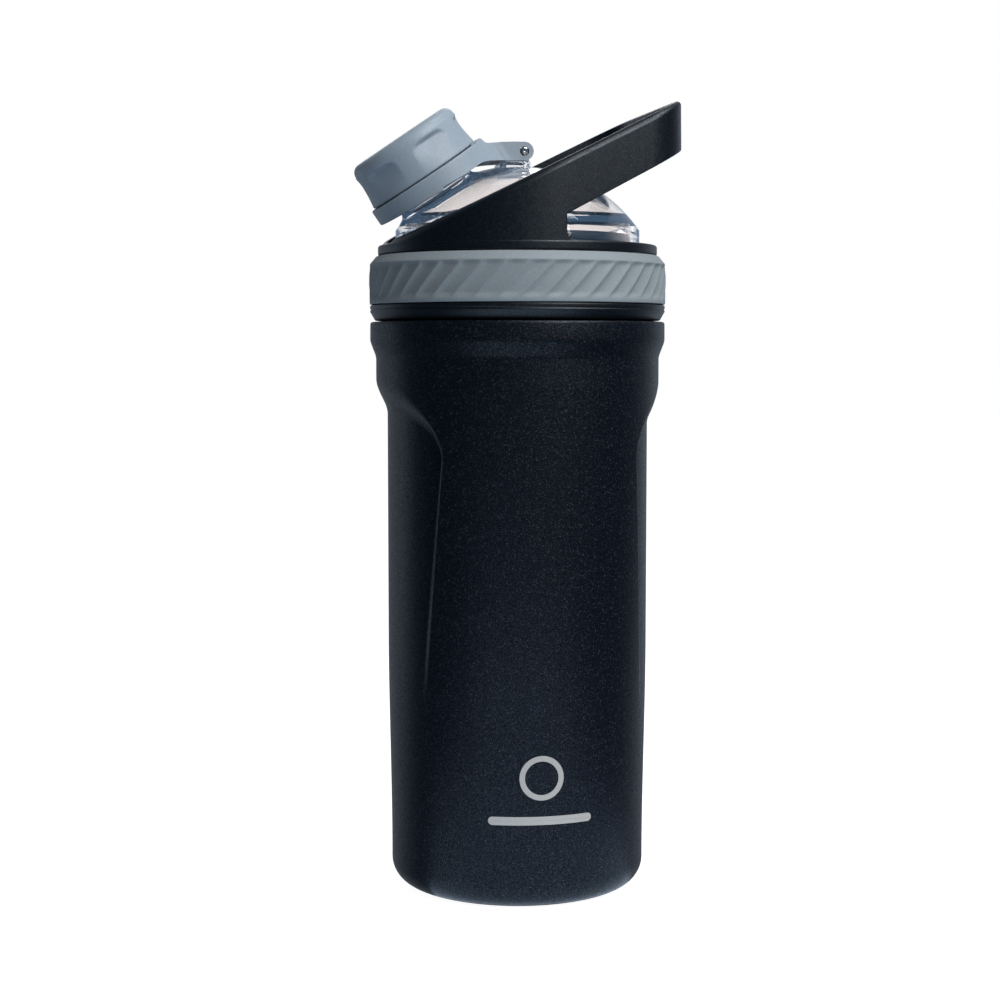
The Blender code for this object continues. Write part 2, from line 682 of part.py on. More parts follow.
def scallop(angle, h):
    """How deep a finger recess cuts: deepest under its ledge, running out towards the knob's base."""
    period = 360 / SCALLOPS
    offset = (angle - SCALLOP_PHASE + period / 2) % period - period / 2
    across = max(0.0, 1 - (offset / SCALLOP_HALF_ANGLE) ** 2)
    ledge = smooth_step((SCALLOP_TOP - h) / 1.2)
    return SCALLOP_DEPTH * across * ledge * max(h, 0) / SCALLOP_TOP


def cap_knob():
    edge = KNOB_TOP_R - KNOB_FLAT_R
    profile = [(0, KNOB_HEIGHT), (KNOB_FLAT_R, KNOB_HEIGHT)]
    profile += arc(KNOB_FLAT_R, KNOB_HEIGHT - edge, edge, 66, 0, 3)
    for h in (SCALLOP_TOP, SCALLOP_TOP - 1.2, 4.5, GAP / 2):
        profile.append((KNOB_R + (KNOB_TOP_R - KNOB_R) * h / KNOB_HEIGHT, h))
    profile += [(KNOB_BORE_R, GAP / 2), (KNOB_BORE_R, KNOB_CEILING), (0, KNOB_CEILING)]
    bm = turned(profile, 8 * SCALLOPS, closed=False)
    reshape(bm, lambda angle, r, h: r - scallop(angle, h) if r > KNOB_BORE_R + 0.5 else r)
    return place("cap_knob", bm, "blue_grey_plastic", CAP_FRAME, CAP_FRAME)


def cap_insert():
    """Sleeve that clamps the tether band under the knob and carries the bayonet lugs."""
    flange_r = TETHER_COUNTERBORE_R - 0.4
    shank_r = TETHER_BORE_R - GAP
    foot = TETHER_LEDGE - GAP
    flare = ((16.9, foot - 1.3), (16.1, -1.8), (16.0, -1.5), (15.3, 0.5), (15.25, 0.7))
    ceiling = INSERT_TOP - INSERT_ROOF
    profile = [(0, INSERT_TOP), (INSERT_R, INSERT_TOP), (INSERT_R, -GAP / 2), (shank_r, -GAP / 2),
               (shank_r, foot), (flange_r, foot), (flange_r, foot - 1.3)]
    profile += list(flare) + [(INSERT_BORE_R, ceiling), (0, ceiling)]
    bm = turned(profile, SMALL_SIDES, closed=False)

    def rule(angle, r, h):
        from_side = abs(abs(angle) - 90)
        is_lug = from_side < INSERT_LUG_HALF_ANGLE and -1.6 < h < 0.6 and r < INSERT_R - 0.1
        return INSERT_LUG_R if is_lug else r

    reshape(bm, rule)
    return place("cap_insert", bm, "black_plastic", CAP_FRAME, CAP_FRAME)


def cap_gasket():
    bm = disc(CAP_GASKET_R, SPOUT_TOP + GAP, INSERT_TOP - INSERT_ROOF - GAP, SMALL_SIDES)
    return place("cap_gasket", bm, "silicone", CAP_FRAME, CAP_FRAME)


def hinge_pin():
    end = PIN_HALF_LENGTH
    profile = [(0, end), (PIN_R - 0.25, end), (PIN_R, end - 0.3)]
    profile += [(r, -z) for r, z in reversed(profile)]
    along_y = PIN_FRAME @ Matrix.Rotation(radians(90), 4, 'X')
    return place("hinge_pin", turned(profile, 12, closed=False), "steel", along_y, PIN_FRAME)


# ---- Mixing ball -----------------------------------------------------------

def mixing_ball():
    """One steel wire wound as a ball, wound pole to pole."""
    radius = BALL_R - BALL_WIRE_R
    centre_z = LINER_FLOOR + GAP + BALL_R
    curve = bpy.data.curves.new("mixing_ball", 'CURVE')
    curve.dimensions = '3D'
    curve.bevel_depth = BALL_WIRE_R * MM
    curve.bevel_resolution = 1
    curve.use_fill_caps = True
    spline = curve.splines.new('POLY')
    steps = BALL_TURNS * 14
    spline.points.add(steps)
    for i in range(steps + 1):
        t = i / steps
        polar = radians(BALL_END_ANGLE + (180 - 2 * BALL_END_ANGLE) * t)
        turn = 2 * pi * BALL_TURNS * t
        spot = (radius * sin(polar) * cos(turn), radius * sin(polar) * sin(turn), -radius * cos(polar))
        spline.points[i].co = (*(v * MM for v in spot), 1)
    obj = bpy.data.objects.new("mixing_ball", curve)
    bpy.context.scene.collection.objects.link(obj)
    obj.location.z = centre_z * MM
    curve.materials.append(material("steel"))
    return obj


def main():
    clear_scene()
    makers = (outer_shell, inner_liner, base_plate, vacuum_getter, lid_collar, lid_gasket, grip_ring,
              handle_frame, spout_dome, dome_seal, cap_tether, cap_knob, cap_insert, cap_gasket,
              hinge_pin, mixing_ball)
    for make in makers:
        make()


main()
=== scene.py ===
"""Looks of the protein shaker bottle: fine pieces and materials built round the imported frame."""
import json
from math import acos, atan2, ceil, cos, degrees, exp, hypot, pi, radians, sin, sqrt, tan

import bmesh
import bpy
from mathutils import Matrix, Vector


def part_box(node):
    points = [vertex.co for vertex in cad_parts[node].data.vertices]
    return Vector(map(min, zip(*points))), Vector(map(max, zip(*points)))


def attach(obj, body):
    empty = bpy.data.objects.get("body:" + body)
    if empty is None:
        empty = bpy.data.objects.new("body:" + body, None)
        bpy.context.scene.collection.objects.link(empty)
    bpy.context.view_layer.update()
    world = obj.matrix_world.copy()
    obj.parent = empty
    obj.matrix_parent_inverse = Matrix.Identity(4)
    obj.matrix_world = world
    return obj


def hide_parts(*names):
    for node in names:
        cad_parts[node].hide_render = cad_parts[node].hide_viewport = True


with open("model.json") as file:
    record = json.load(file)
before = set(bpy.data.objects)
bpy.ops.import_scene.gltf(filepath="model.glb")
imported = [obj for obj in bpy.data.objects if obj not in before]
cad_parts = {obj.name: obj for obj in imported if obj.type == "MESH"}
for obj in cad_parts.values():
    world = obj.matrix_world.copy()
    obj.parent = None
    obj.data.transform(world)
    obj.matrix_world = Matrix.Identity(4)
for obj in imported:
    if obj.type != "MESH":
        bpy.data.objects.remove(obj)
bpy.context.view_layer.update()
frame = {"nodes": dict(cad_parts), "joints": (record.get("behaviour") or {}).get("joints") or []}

MM = 0.001
SMOOTH_ANGLE = 32.0


# ---- Places read from the frame, in millimetres ----

def corners(node):
    low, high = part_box(node)
    return low / MM, high / MM


def joint(name):
    return next(j for j in frame["joints"] if j["name"] == name)


shell_low, shell_high = corners("outer_shell")
liner_low, liner_high = corners("inner_liner")
plate_low, plate_high = corners("base_plate")
collar_low, collar_high = corners("lid_collar")
ring_low, ring_high = corners("grip_ring")
handle_low, handle_high = corners("handle_frame")
dome_low, dome_high = corners("spout_dome")
gasket_low, gasket_high = corners("lid_gasket")
pin_low, pin_high = corners("hinge_pin")
ball_low, ball_high = corners("mixing_ball")

PIN = Vector(joint("cap_flip")["pos_m"]) / MM
CAP = Vector(joint("cap_twist")["pos_m"]) / MM
CAP_AXIS = Vector(joint("cap_twist")["axis"])
CAP_TILT = degrees(atan2(-CAP_AXIS.x, CAP_AXIS.z))
CAP_FRAME = Matrix.Translation(CAP * MM) @ Matrix.Rotation(-radians(CAP_TILT), 4, 'Y')

# Bottle body
COLLAR_R = shell_high.y               # plain band under the lid
NECK_TOP = shell_high.z
SHOULDER_Z = 180.3
COLLAR_LOW = 174.2
STEP_Z = 169.3
STEP_FOOT_Z = 165.0                   # the panel runs plain below this
SHOULDER_ROUNDING = 0.9
BASE_R = 40.5
BASE_CORNER = 8.0
BELLY = 0.95
BELLY_LOW = 10.0
BELLY_HEIGHT = 70.0
SHEET = 0.9
PANEL_FOOT_Z = 60.0
PANEL_HEIGHT = 100.0
PANEL_PROUD = 3.6
RECESS_HALF_ANGLE = 45.0
RECESS_ARCH_Z = 138.0
RECESS_ARCH_RISE = {"spout": 19.0, "handle": 17.2}
RECESS_TAPER = 0.155
RECESS_SIDE_SLOPE = 1.25
RECESS_TOP_SLOPE = {"spout": 6.0, "handle": 8.5}
RECESS_ARC_SCALE = 1.05               # the edge lies a little outside the barrel
RECESS_EDGE_ANGLES = (26, 50)         # the edge stays between these

# Neck and thread
NECK_R = 39.7
NECK_INNER_R = 38.7
THREAD_LEAD = 10.0
THREAD_STARTS = 2
THREAD_FOOT = 183.4
THREAD_HEAD = 194.8
THREAD_HALF_WIDTH = 1.15
THREAD_FLANK = 0.65
THREAD_RUNOUT = 1.6
MALE_CREST_R = 40.8
FEMALE_CREST_R = 40.2
FEMALE_PHASE = 90                      # turns the female ridges into the male valleys

# Lid
COLLAR_BORE_R = 41.2
COLLAR_WALL_R = 42.3
BAND_R = collar_high.y                # black band under the grip ring
BAND_FOOT = collar_low.z
BAND_LOW = 183.5
BAND_FOOT_R = 45.3
BAND_HIGH = ring_low.z - 0.3
BAND_GROOVE = (0.3, 0.6, 0.9)          # edge, middle and edge, above BAND_LOW
BAND_GROOVE_DEPTH = 0.3
PLATE_LOW = 199.5
PLATE_HIGH = 201.0
UPSTAND_R = 36.1
UPSTAND_BORE_R = 33.5
UPSTAND_TOP = collar_high.z
GASKET_BORE_R = 37.4
GROOVE_R = 34.6
GROOVE_LOW = 203.4
GROOVE_HIGH = 205.0
RING_R = ring_high.x
RING_BORE_R = 43.6
RING_LOW = ring_low.z
RING_TOP = ring_high.z
RING_EDGE = RING_TOP - 2.6
RING_TOP_R = 44.8
RING_CROWN = 0.27
RIBS = 42
RIB_DEPTH = 0.85
RIB_VALLEY = 0.38                      # share of the pitch from a crest to the valley
RIB_FADE_LOW = 2.2
RIB_FADE_HIGH = 0.8
RIB_COLUMNS = 22
RIB_LOW = RING_LOW + 0.9
RIB_HIGH = RING_EDGE - 0.2
RIB_LEAN = 44.0
RIB_PHASE = -95.8                     # where one crest crosses the ring's mid height

# Clear dome
DOME_R = 38.7
DOME_WALL = 2.3
DOME_SPHERE_R = 47.0
DOME_SPHERE_Z = 182.4
DOME_SHOULDER = [(0, 0.5), (0.5, 2.1), (3.5, 3.8), (3.6, 5.1)]  # in from the wall, up from the upstand
DOME_FLANGE_R = dome_high.y
DOME_FLANGE_LOW = dome_low.z
DOME_FLANGE_HIGH = DOME_FLANGE_LOW + 1.6

# Black frame and its loop handle
FRAME_R = 44.15
FRAME_WALL = 3.0
FRAME_FLANGE_R = 44.3
FRAME_LOW = DOME_FLANGE_LOW
FRAME_HIGH = FRAME_LOW + 3.0
FRAME_OPENING_R = 39.1
SKIRT_LOW = handle_low.z
SKIRT_INNER_R = 42.6
SKIRT_R = 43.3
HANDLE_TOP_SLOPE = 0.495
HANDLE_TOP_Z = handle_high.z - HANDLE_TOP_SLOPE * handle_high.x
HANDLE_LOW_SLOPE = 0.52
HANDLE_LOW_Z = HANDLE_TOP_Z - 17.0
WINDOW_X = 5.25
WINDOW_FILLET = 3.1
ARM_ANGLE = 8.9
ARM_CORNER_R = 16.0
ARM_CORNER_X = handle_high.x - ARM_CORNER_R
ARM_CORNER_Y = 23.7
ARM_BEVEL = 0.45
RIM_R = 2.35
RIM_INNER_R = 0.4
RIM_CUTS = (0.04, 0.1, 0.2, 0.4, 0.7, 1.05, 1.45, 1.9, 2.35)
END_HOLLOW = 0.45
END_HOLLOW_HALF = 7.5
MOULD_LINE_X = 30.0
MOULD_LINE_HEIGHT = 0.035
MOULD_LINE_WIDTH = 0.11
WALL_ROOT = FRAME_HIGH - 0.9           # the wall starts inside the frame ring

# Spout and flip cap, in the cap's own frame
SPOUT_R = 12.7
SPOUT_BORE_R = 10.5
SPOUT_TOP = 6.0
SPOUT_ROOT = -12.0
FLARE_R = 2.6
FLARE_TOP = -5.6
LUG_HALF_ANGLE = 30.0
LUG_CREST_R = 14.2
LUG_LOW = 0.8
LUG_HIGH = 2.8
BOSS_X = (-5.8, 2.5)
PIN_HOLE_R = 1.5
PIN_R = pin_high.x - PIN.x
KNUCKLE_R = 2.9
ARM_HALF_WIDTH = 8.0
ARM_FILLET_R = 10.0
ARM_ROOT_X = -24.0
UNDERCUT_REACH = 8.0
UNDERCUT_SLOPE = 0.575
# Curves of the tether's arm, from the band to the knuckle and back, measured from the pin
ARM_UNDERSIDE = [(-20.4, -8.0), (-19.4, -7.3), (-18.4, -6.6), (-17.4, -5.9), (-16.3, -5.15), (-15.3, -4.55),
                 (-14.2, -4.1), (-13.1, -3.8), (-11.5, -3.45), (-10.0, -3.25), (-8.8, -3.15), (-6.0, -3.0)]
ARM_TOP = [(-4.0, 2.86), (-7.5, 2.68), (-10.0, 2.4), (-11.6, 2.2), (-12.6, 2.15), (-13.2, 2.35),
           (-13.9, 2.95), (-14.7, 3.4), (-15.4, 3.25), (-16.4, 2.6)]
TONGUE_HALF_WIDTH = 3.8
BOSS_TOP = PIN.z - 3.2
TETHER_R = 20.69
BLEND_R = TETHER_R - 0.15              # the fillets start inside the band, so they leave no ledge
TETHER_OFFSET = 0.65
TETHER_THICK = 6.45
TETHER_TOP = -0.15
TETHER_WIDTH = 5.5
TETHER_WEDGE = 1.05
TETHER_BORE_R = 17.6
TETHER_COUNTERBORE_R = 18.8
TETHER_LEDGE = -3.6
KNOB_R = 19.0
KNOB_TOP_R = 18.3
KNOB_FLAT_R = 15.4
KNOB_HEIGHT = 14.2
KNOB_BORE_R = 16.5
KNOB_CEILING = 10.1
SCALLOPS = 6
SCALLOP_DEPTH = 1.6
SCALLOP_PHASE = -78.0
SCALLOP_HALF_ANGLE = 21.0
SCALLOP_TOP = 10.4
SCALLOP_ARCH = 2.4
SCALLOP_LEDGE = 1.5
INSERT_R = 16.2
INSERT_BORE_R = 15.2
INSERT_TOP = 9.8
LATCH_LOW = -1.6
LATCH_HIGH = 0.6
LATCH_CREST_R = 13.6
LATCH_HALF_ANGLE = 17.0

# Plain mark on the front of the body
MARK_ANGLE = -92.3
MARK_LIFT = 0.05
MARK_RING_Z = 41.5
MARK_RING_R = 6.9
MARK_RING_WIDTH = 1.7
MARK_BAR_Z = 28.3
MARK_BAR_HALF = 15.2
MARK_BAR_R = 1.3
MARK_BAR_SLIT = 0.02                   # the bar is closed round a slit too narrow to see

# Inside
LINER_R = 37.5
LINER_WALL = 0.8
LINER_CORNER = 10.0
BALL_TURNS = 7
BALL_WIRE_R = 0.8
BALL_POLE_ANGLE = 14.0                 # the wire starts and ends this far from the poles

# Photograph's view
CAMERA_AZIMUTH = -13.0
CAMERA_DISTANCE = 633.0
CAMERA_HEIGHT = 171.4
CAMERA_PITCH = 4.34
CAMERA_PAN = 0.5
FOCAL_PIXELS = 1975.0
FRAME_PIXELS = 1000.0
SENSOR = 36.0


# ---- Mesh helpers ----

def smooth_step(t):
    t = min(max(t, 0.0), 1.0)
    return t * t * (3 - 2 * t)


def add_object(name, data):
    obj = bpy.data.objects.new(name, data)
    bpy.context.scene.collection.objects.link(obj)
    return obj


def shade(mesh, angle):
    mesh.shade_smooth()
    mesh.set_sharp_from_angle(angle=radians(angle))


def make(name, bm, build_frame=Matrix(), smooth_angle=SMOOTH_ANGLE):
    bmesh.ops.recalc_face_normals(bm, faces=bm.faces[:])
    mesh = bpy.data.meshes.new(name)
    bm.to_mesh(mesh)
    bm.free()
    mesh.transform(build_frame)
    shade(mesh, smooth_angle)
    return add_object(name, mesh)


def dress(obj, body, slot, material, *nodes):
    """Give a piece its material and its body, and hide the CAD nodes that it stands for; the slot is not
    used.
    """
    obj.data.materials.clear()
    obj.data.materials.append(material)
    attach(obj, body)
    if nodes:
        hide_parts(*nodes)
    return obj


def grid_turn(profile, angles, closed=True, rule=None):
    """Turn (radius, height) points through the listed angles; rule moves each point's radius."""
    bm = bmesh.new()
    columns = []
    poles = {}
    for angle in angles:
        a = radians(angle)
        column = []
        for i, (r, z) in enumerate(profile):
            if r < 1e-6:
                if i not in poles:
                    poles[i] = bm.verts.new((0, 0, z * MM))
                column.append(poles[i])
                continue
            if rule:
                r = rule(angle, r, z)
            column.append(bm.verts.new((r * cos(a) * MM, r * sin(a) * MM, z * MM)))
        columns.append(column)
    count = len(profile) if closed else len(profile) - 1
    for here, there in zip(columns, columns[1:] + columns[:1]):
        for i in range(count):
            j = (i + 1) % len(profile)
            corners_of = [here[i], here[j], there[j], there[i]]
            unique = list(dict.fromkeys(corners_of))
            if len(unique) > 2:
                bm.faces.new(unique)
    return bm


def turned(profile, sides=160, closed=True, rule=None):
    return grid_turn(profile, [360 * i / sides for i in range(sides)], closed, rule)


def rounded(profile, radius, closed=True, steps=4):
    """The outline with each corner replaced by a small arc-like curve of that radius."""
    count = len(profile)
    made = []
    for i, (r, z) in enumerate(profile):
        if not closed and i in (0, count - 1):
            made.append((r, z))
            continue
        before = Vector(profile[i - 1]) - Vector((r, z))
        after = Vector(profile[(i + 1) % count]) - Vector((r, z))
        reach = min(radius, before.length * 0.45, after.length * 0.45)
        bend = before.angle(after) if before.length and after.length else pi
        if reach < 0.02 or bend > radians(165):
            made.append((r, z))
            continue
        start = Vector((r, z)) + before.normalized() * reach
        end = Vector((r, z)) + after.normalized() * reach
        for k in range(steps + 1):
            t = k / steps
            p = start * (1 - t) ** 2 + Vector((r, z)) * 2 * t * (1 - t) + end * t * t
            made.append((p.x, p.y))
    return made


def spaced(start, end, step):
    count = max(1, ceil(abs(end - start) / step))
    return [start + (end - start) * i / count for i in range(count + 1)]


def arc(cx, cz, r, start, end, count):
    angles = [radians(start + (end - start) * i / count) for i in range(count + 1)]
    return [(cx + r * cos(a), cz + r * sin(a)) for a in angles]


def verts_in(geometry):
    return [item for item in geometry if isinstance(item, bmesh.types.BMVert)]


def thicken(bm, face, distance):
    moved = bmesh.ops.extrude_face_region(bm, geom=[face])["geom"]
    bmesh.ops.translate(bm, verts=verts_in(moved), vec=(0, distance, 0))


def extruded(outline, half_width):
    bm = bmesh.new()
    verts = [bm.verts.new((x * MM, -half_width * MM, z * MM)) for x, z in outline]
    face = bm.faces.new(verts)
    thicken(bm, face, 2 * half_width * MM)
    return bm


def box(low, high):
    (x0, y0, z0), (x1, y1, z1) = low, high
    bm = extruded([(x0, z0), (x1, z0), (x1, z1), (x0, z1)], (y1 - y0) / 2)
    bmesh.ops.translate(bm, verts=bm.verts[:], vec=(0, (y0 + y1) / 2 * MM, 0))
    return bm


def apply_modifiers(obj):
    graph = bpy.context.evaluated_depsgraph_get()
    old = obj.data
    obj.data = bpy.data.meshes.new_from_object(obj.evaluated_get(graph))
    obj.modifiers.clear()
    bpy.data.meshes.remove(old)
    obj.data.name = obj.name


def combine(target, bm, operation, build_frame=Matrix()):
    other = make("cutter", bm, build_frame)
    modifier = target.modifiers.new("combine", 'BOOLEAN')
    modifier.operation = operation
    modifier.solver = 'EXACT'
    modifier.object = other
    apply_modifiers(target)
    bpy.data.objects.remove(other, do_unlink=True)


def even_normals(obj):
    """Let the large faces rule the shading where they meet small ones."""
    modifier = obj.modifiers.new("normals", 'WEIGHTED_NORMAL')
    modifier.keep_sharp = True
    apply_modifiers(obj)


def soften(obj, width, segments=3, angle=35.0):
    """Round the sharp edges of a finished piece."""
    modifier = obj.modifiers.new("soften", 'BEVEL')
    modifier.width = width * MM
    modifier.segments = segments
    modifier.limit_method = 'ANGLE'
    modifier.angle_limit = radians(angle)
    apply_modifiers(obj)
    shade(obj.data, 50)
    even_normals(obj)


# ---- Materials ----

class Shader:
    """A Principled material and short ways to add procedural nodes to it."""

    def __init__(self, name, colour, roughness, metallic=0.0, specular=0.5):
        self.material = bpy.data.materials.new(name)
        self.material.use_nodes = True
        self.tree = self.material.node_tree
        self.shader = self.tree.nodes["Principled BSDF"]
        self.link = self.tree.links.new
        self.set("Base Color", (*colour, 1))
        self.set("Roughness", roughness)
        self.set("Metallic", metallic)
        self.set("Specular IOR Level", specular)
        coordinates = self.node("TexCoord")
        scale = self.node("Mapping")
        scale.inputs["Scale"].default_value = (1 / MM,) * 3
        self.link(coordinates.outputs["Object"], scale.inputs["Vector"])
        self.millimetres = scale.outputs["Vector"]

    def node(self, kind):
        return self.tree.nodes.new("ShaderNode" + kind)

    def set(self, socket, value):
        self.shader.inputs[socket].default_value = value

    def stretched(self, sx, sy, sz):
        mapping = self.node("Mapping")
        mapping.inputs["Scale"].default_value = (sx, sy, sz)
        self.link(self.millimetres, mapping.inputs["Vector"])
        return mapping.outputs["Vector"]

    def radius(self):
        """Distance from the object's Z axis, as a vector along X."""
        parts = self.node("SeparateXYZ")
        flat = self.node("CombineXYZ")
        length = self.node("VectorMath")
        length.operation = 'LENGTH'
        joined = self.node("CombineXYZ")
        self.link(self.millimetres, parts.inputs[0])
        self.link(parts.outputs["X"], flat.inputs["X"])
        self.link(parts.outputs["Y"], flat.inputs["Y"])
        self.link(flat.outputs[0], length.inputs[0])
        self.link(length.outputs["Value"], joined.inputs["X"])
        return joined.outputs[0]

    def noise(self, scale, detail=2.0, roughness=0.5, vector=None):
        node = self.node("TexNoise")
        node.inputs["Scale"].default_value = scale
        node.inputs["Detail"].default_value = detail
        node.inputs["Roughness"].default_value = roughness
        self.link(vector or self.millimetres, node.inputs["Vector"])
        return node.outputs["Fac"]

    def cells(self, scale):
        """A random value for each small cell, for flecks."""
        node = self.node("TexVoronoi")
        node.inputs["Scale"].default_value = scale
        self.link(self.millimetres, node.inputs["Vector"])
        parts = self.node("SeparateColor")
        self.link(node.outputs["Color"], parts.inputs[0])
        return parts.outputs[0]

    def ramp(self, source, *stops):
        node = self.node("ValToRGB")
        elements = node.color_ramp.elements
        while len(elements) < len(stops):
            elements.new(0.5)
        for element, (position, value) in zip(elements, stops):
            element.position = position
            element.color = (*value, 1) if hasattr(value, "__len__") else (value, value, value, 1)
        self.link(source, node.inputs["Fac"])
        return node.outputs["Color"]

    def mix(self, factor, first, second):
        node = self.node("Mix")
        node.data_type = 'RGBA'
        for source, socket in ((factor, 0), (first, 6), (second, 7)):
            if hasattr(source, "is_linked"):
                self.link(source, node.inputs[socket])
            else:
                node.inputs[socket].default_value = source
        return node.outputs[2]

    def drive(self, socket, source):
        self.link(source, self.shader.inputs[socket])

    def bump(self, source, distance, strength=1.0):
        node = self.node("Bump")
        node.inputs["Distance"].default_value = distance * MM
        node.inputs["Strength"].default_value = strength
        self.link(source, node.inputs["Height"])
        previous = self.shader.inputs["Normal"].links
        if previous:
            self.link(previous[0].from_socket, node.inputs["Normal"])
        self.link(node.outputs["Normal"], self.shader.inputs["Normal"])


def powder_coat():
    s = Shader("powder_coat", (0.002, 0.003, 0.006), 0.45, specular=0.25)
    grain = s.noise(3.0, 2.0, 0.7)
    base = s.ramp(grain, (0.36, (0.0003, 0.0008, 0.0024)), (0.64, (0.0032, 0.0044, 0.0088)))
    flecks = s.ramp(s.cells(3.3), (0.90, 0.0), (1.0, 1.0))
    s.drive("Base Color", s.mix(flecks, base, (0.030, 0.034, 0.042, 1)))
    s.drive("Specular IOR Level", s.ramp(s.noise(3.1, 2.0, 0.7), (0.42, 0.10), (0.66, 0.55)))
    s.drive("Roughness", s.ramp(s.noise(1.1, 2.0), (0.3, 0.36), (0.7, 0.46)))
    s.bump(s.noise(2.6, 2.0, 0.6), 0.05, 0.8)
    s.bump(s.noise(0.35, 1.0), 0.05, 0.2)
    s.set("Specular Tint", (0.84, 0.93, 1.0, 1))
    return s.material


def black_plastic():
    s = Shader("black_plastic", (0.0020, 0.0024, 0.0032), 0.42, specular=0.3)
    grain = s.noise(3.0, 2.0, 0.7)
    base = s.ramp(grain, (0.3, (0.0002, 0.0006, 0.0014)), (0.75, (0.0018, 0.0030, 0.0052)))
    flecks = s.ramp(s.cells(3.4), (0.94, 0.0), (1.0, 1.0))
    s.drive("Base Color", s.mix(flecks, base, (0.014, 0.016, 0.020, 1)))
    s.drive("Specular IOR Level", s.ramp(s.noise(2.7, 2.0, 0.7), (0.40, 0.36), (0.68, 0.66)))
    s.drive("Roughness", s.ramp(s.noise(0.9, 3.0), (0.3, 0.36), (0.7, 0.46)))
    s.bump(grain, 0.035, 0.8)
    s.set("Specular Tint", (0.84, 0.93, 1.0, 1))
    return s.material


def grained(name, colour, roughness, grain, base, gloss, bump, patches=None, **finish):
    """A shader whose colour and relief follow one grain; the gloss may have patches of its own."""
    s = Shader(name, colour, roughness, **finish)
    pattern = s.noise(*grain)
    s.drive("Base Color", s.ramp(pattern, *base))
    s.drive("Roughness", s.ramp(s.noise(*patches) if patches else pattern, *gloss))
    s.bump(pattern, *bump)
    return s


def grey_rubber():
    base = (0.3, (0.185, 0.217, 0.235)), (0.72, (0.245, 0.284, 0.305))
    return grained("grey_rubber", (0.21, 0.25, 0.275), 0.62, (3.0, 3.0, 0.6), base,
                   ((0.3, 0.56), (0.7, 0.68)), (0.03, 0.5), (0.7, 2.0), specular=0.3).material


def blue_grey_plastic():
    base = (0.3, (0.220, 0.272, 0.322)), (0.72, (0.290, 0.350, 0.408))
    return grained("blue_grey_plastic", (0.26, 0.315, 0.375), 0.45, (3.0, 3.0, 0.6), base,
                   ((0.3, 0.40), (0.7, 0.52)), (0.025, 0.45), (0.6, 2.0), specular=0.35).material


def clear_plastic():
    s = Shader("clear_plastic", (0.95, 0.89, 0.85), 0.03, specular=0.5)
    s.set("Transmission Weight", 1.0)
    s.set("IOR", 1.42)
    # Painted light: a faint blue glow on each pass through the clear plastic stands in for the shaded
    # slate-blue parts seen through the dome; the plastic gives no light of its own.
    s.set("Emission Color", (0.30, 0.55, 0.90, 1))
    s.set("Emission Strength", 0.026)
    s.drive("Roughness", s.ramp(s.noise(0.25, 2.0), (0.35, 0.015), (0.75, 0.06)))
    s.bump(s.noise(0.09, 1.0), 0.03, 0.2)
    absorb = s.node("VolumeAbsorption")
    absorb.inputs["Color"].default_value = (0.45, 0.68, 0.90, 1)
    absorb.inputs["Density"].default_value = 15.0
    s.link(absorb.outputs[0], s.tree.nodes["Material Output"].inputs["Volume"])
    return s.material


def brushed_steel(name="brushed_steel", rings=False):
    s = Shader(name, (0.60, 0.59, 0.57), 0.3, metallic=1.0)
    if rings:
        lines = s.noise(7.0, 4.0, 0.7, s.radius())
    else:
        lines = s.noise(1.0, 4.0, 0.7, s.stretched(0.15, 0.15, 9.0))
    s.drive("Base Color", s.ramp(lines, (0.3, (0.50, 0.49, 0.47)), (0.7, (0.68, 0.67, 0.65))))
    s.drive("Roughness", s.ramp(lines, (0.3, 0.24), (0.7, 0.40)))
    s.bump(lines, 0.01, 0.5)
    return s.material


def bright_steel():
    base = (0.3, (0.58, 0.57, 0.56)), (0.7, (0.72, 0.71, 0.69))
    return grained("bright_steel", (0.66, 0.65, 0.63), 0.16, (1.4, 4.0, 0.7), base,
                   ((0.3, 0.10), (0.75, 0.26)), (0.01, 0.4), metallic=1.0).material


def etched_mark():
    base = (0.3, (0.37, 0.345, 0.315)), (0.7, (0.49, 0.46, 0.42))
    return grained("etched_mark", (0.55, 0.53, 0.50), 0.45, (4.0, 3.0, 0.6), base,
                   ((0.3, 0.36), (0.7, 0.52)), (0.01, 0.5), metallic=0.3).material


def black_silicone():
    base = (0.3, (0.004, 0.005, 0.007)), (0.7, (0.009, 0.010, 0.012))
    return grained("black_silicone", (0.006, 0.007, 0.009), 0.5, (1.5, 3.0), base,
                   ((0.3, 0.42), (0.7, 0.6)), (0.02, 0.4), specular=0.3).material


def silicone():
    base = (0.3, (0.47, 0.49, 0.50)), (0.7, (0.57, 0.59, 0.60))
    s = grained("silicone", (0.52, 0.54, 0.55), 0.5, (1.5, 3.0), base,
                ((0.3, 0.42), (0.7, 0.6)), (0.02, 0.4), specular=0.4)
    s.set("Subsurface Weight", 0.15)
    s.set("Subsurface Radius", (0.003, 0.003, 0.003))
    return s.material


# ---- Bottle body ----

def barrel_radius(z):
    return BASE_R + BELLY * smooth_step((z - BELLY_LOW) / BELLY_HEIGHT)


def panel_proud(z):
    return PANEL_PROUD * min(max((z - PANEL_FOOT_Z) / PANEL_HEIGHT, 0), 1)


def panel_radius(z):
    return barrel_radius(z) + panel_proud(z)


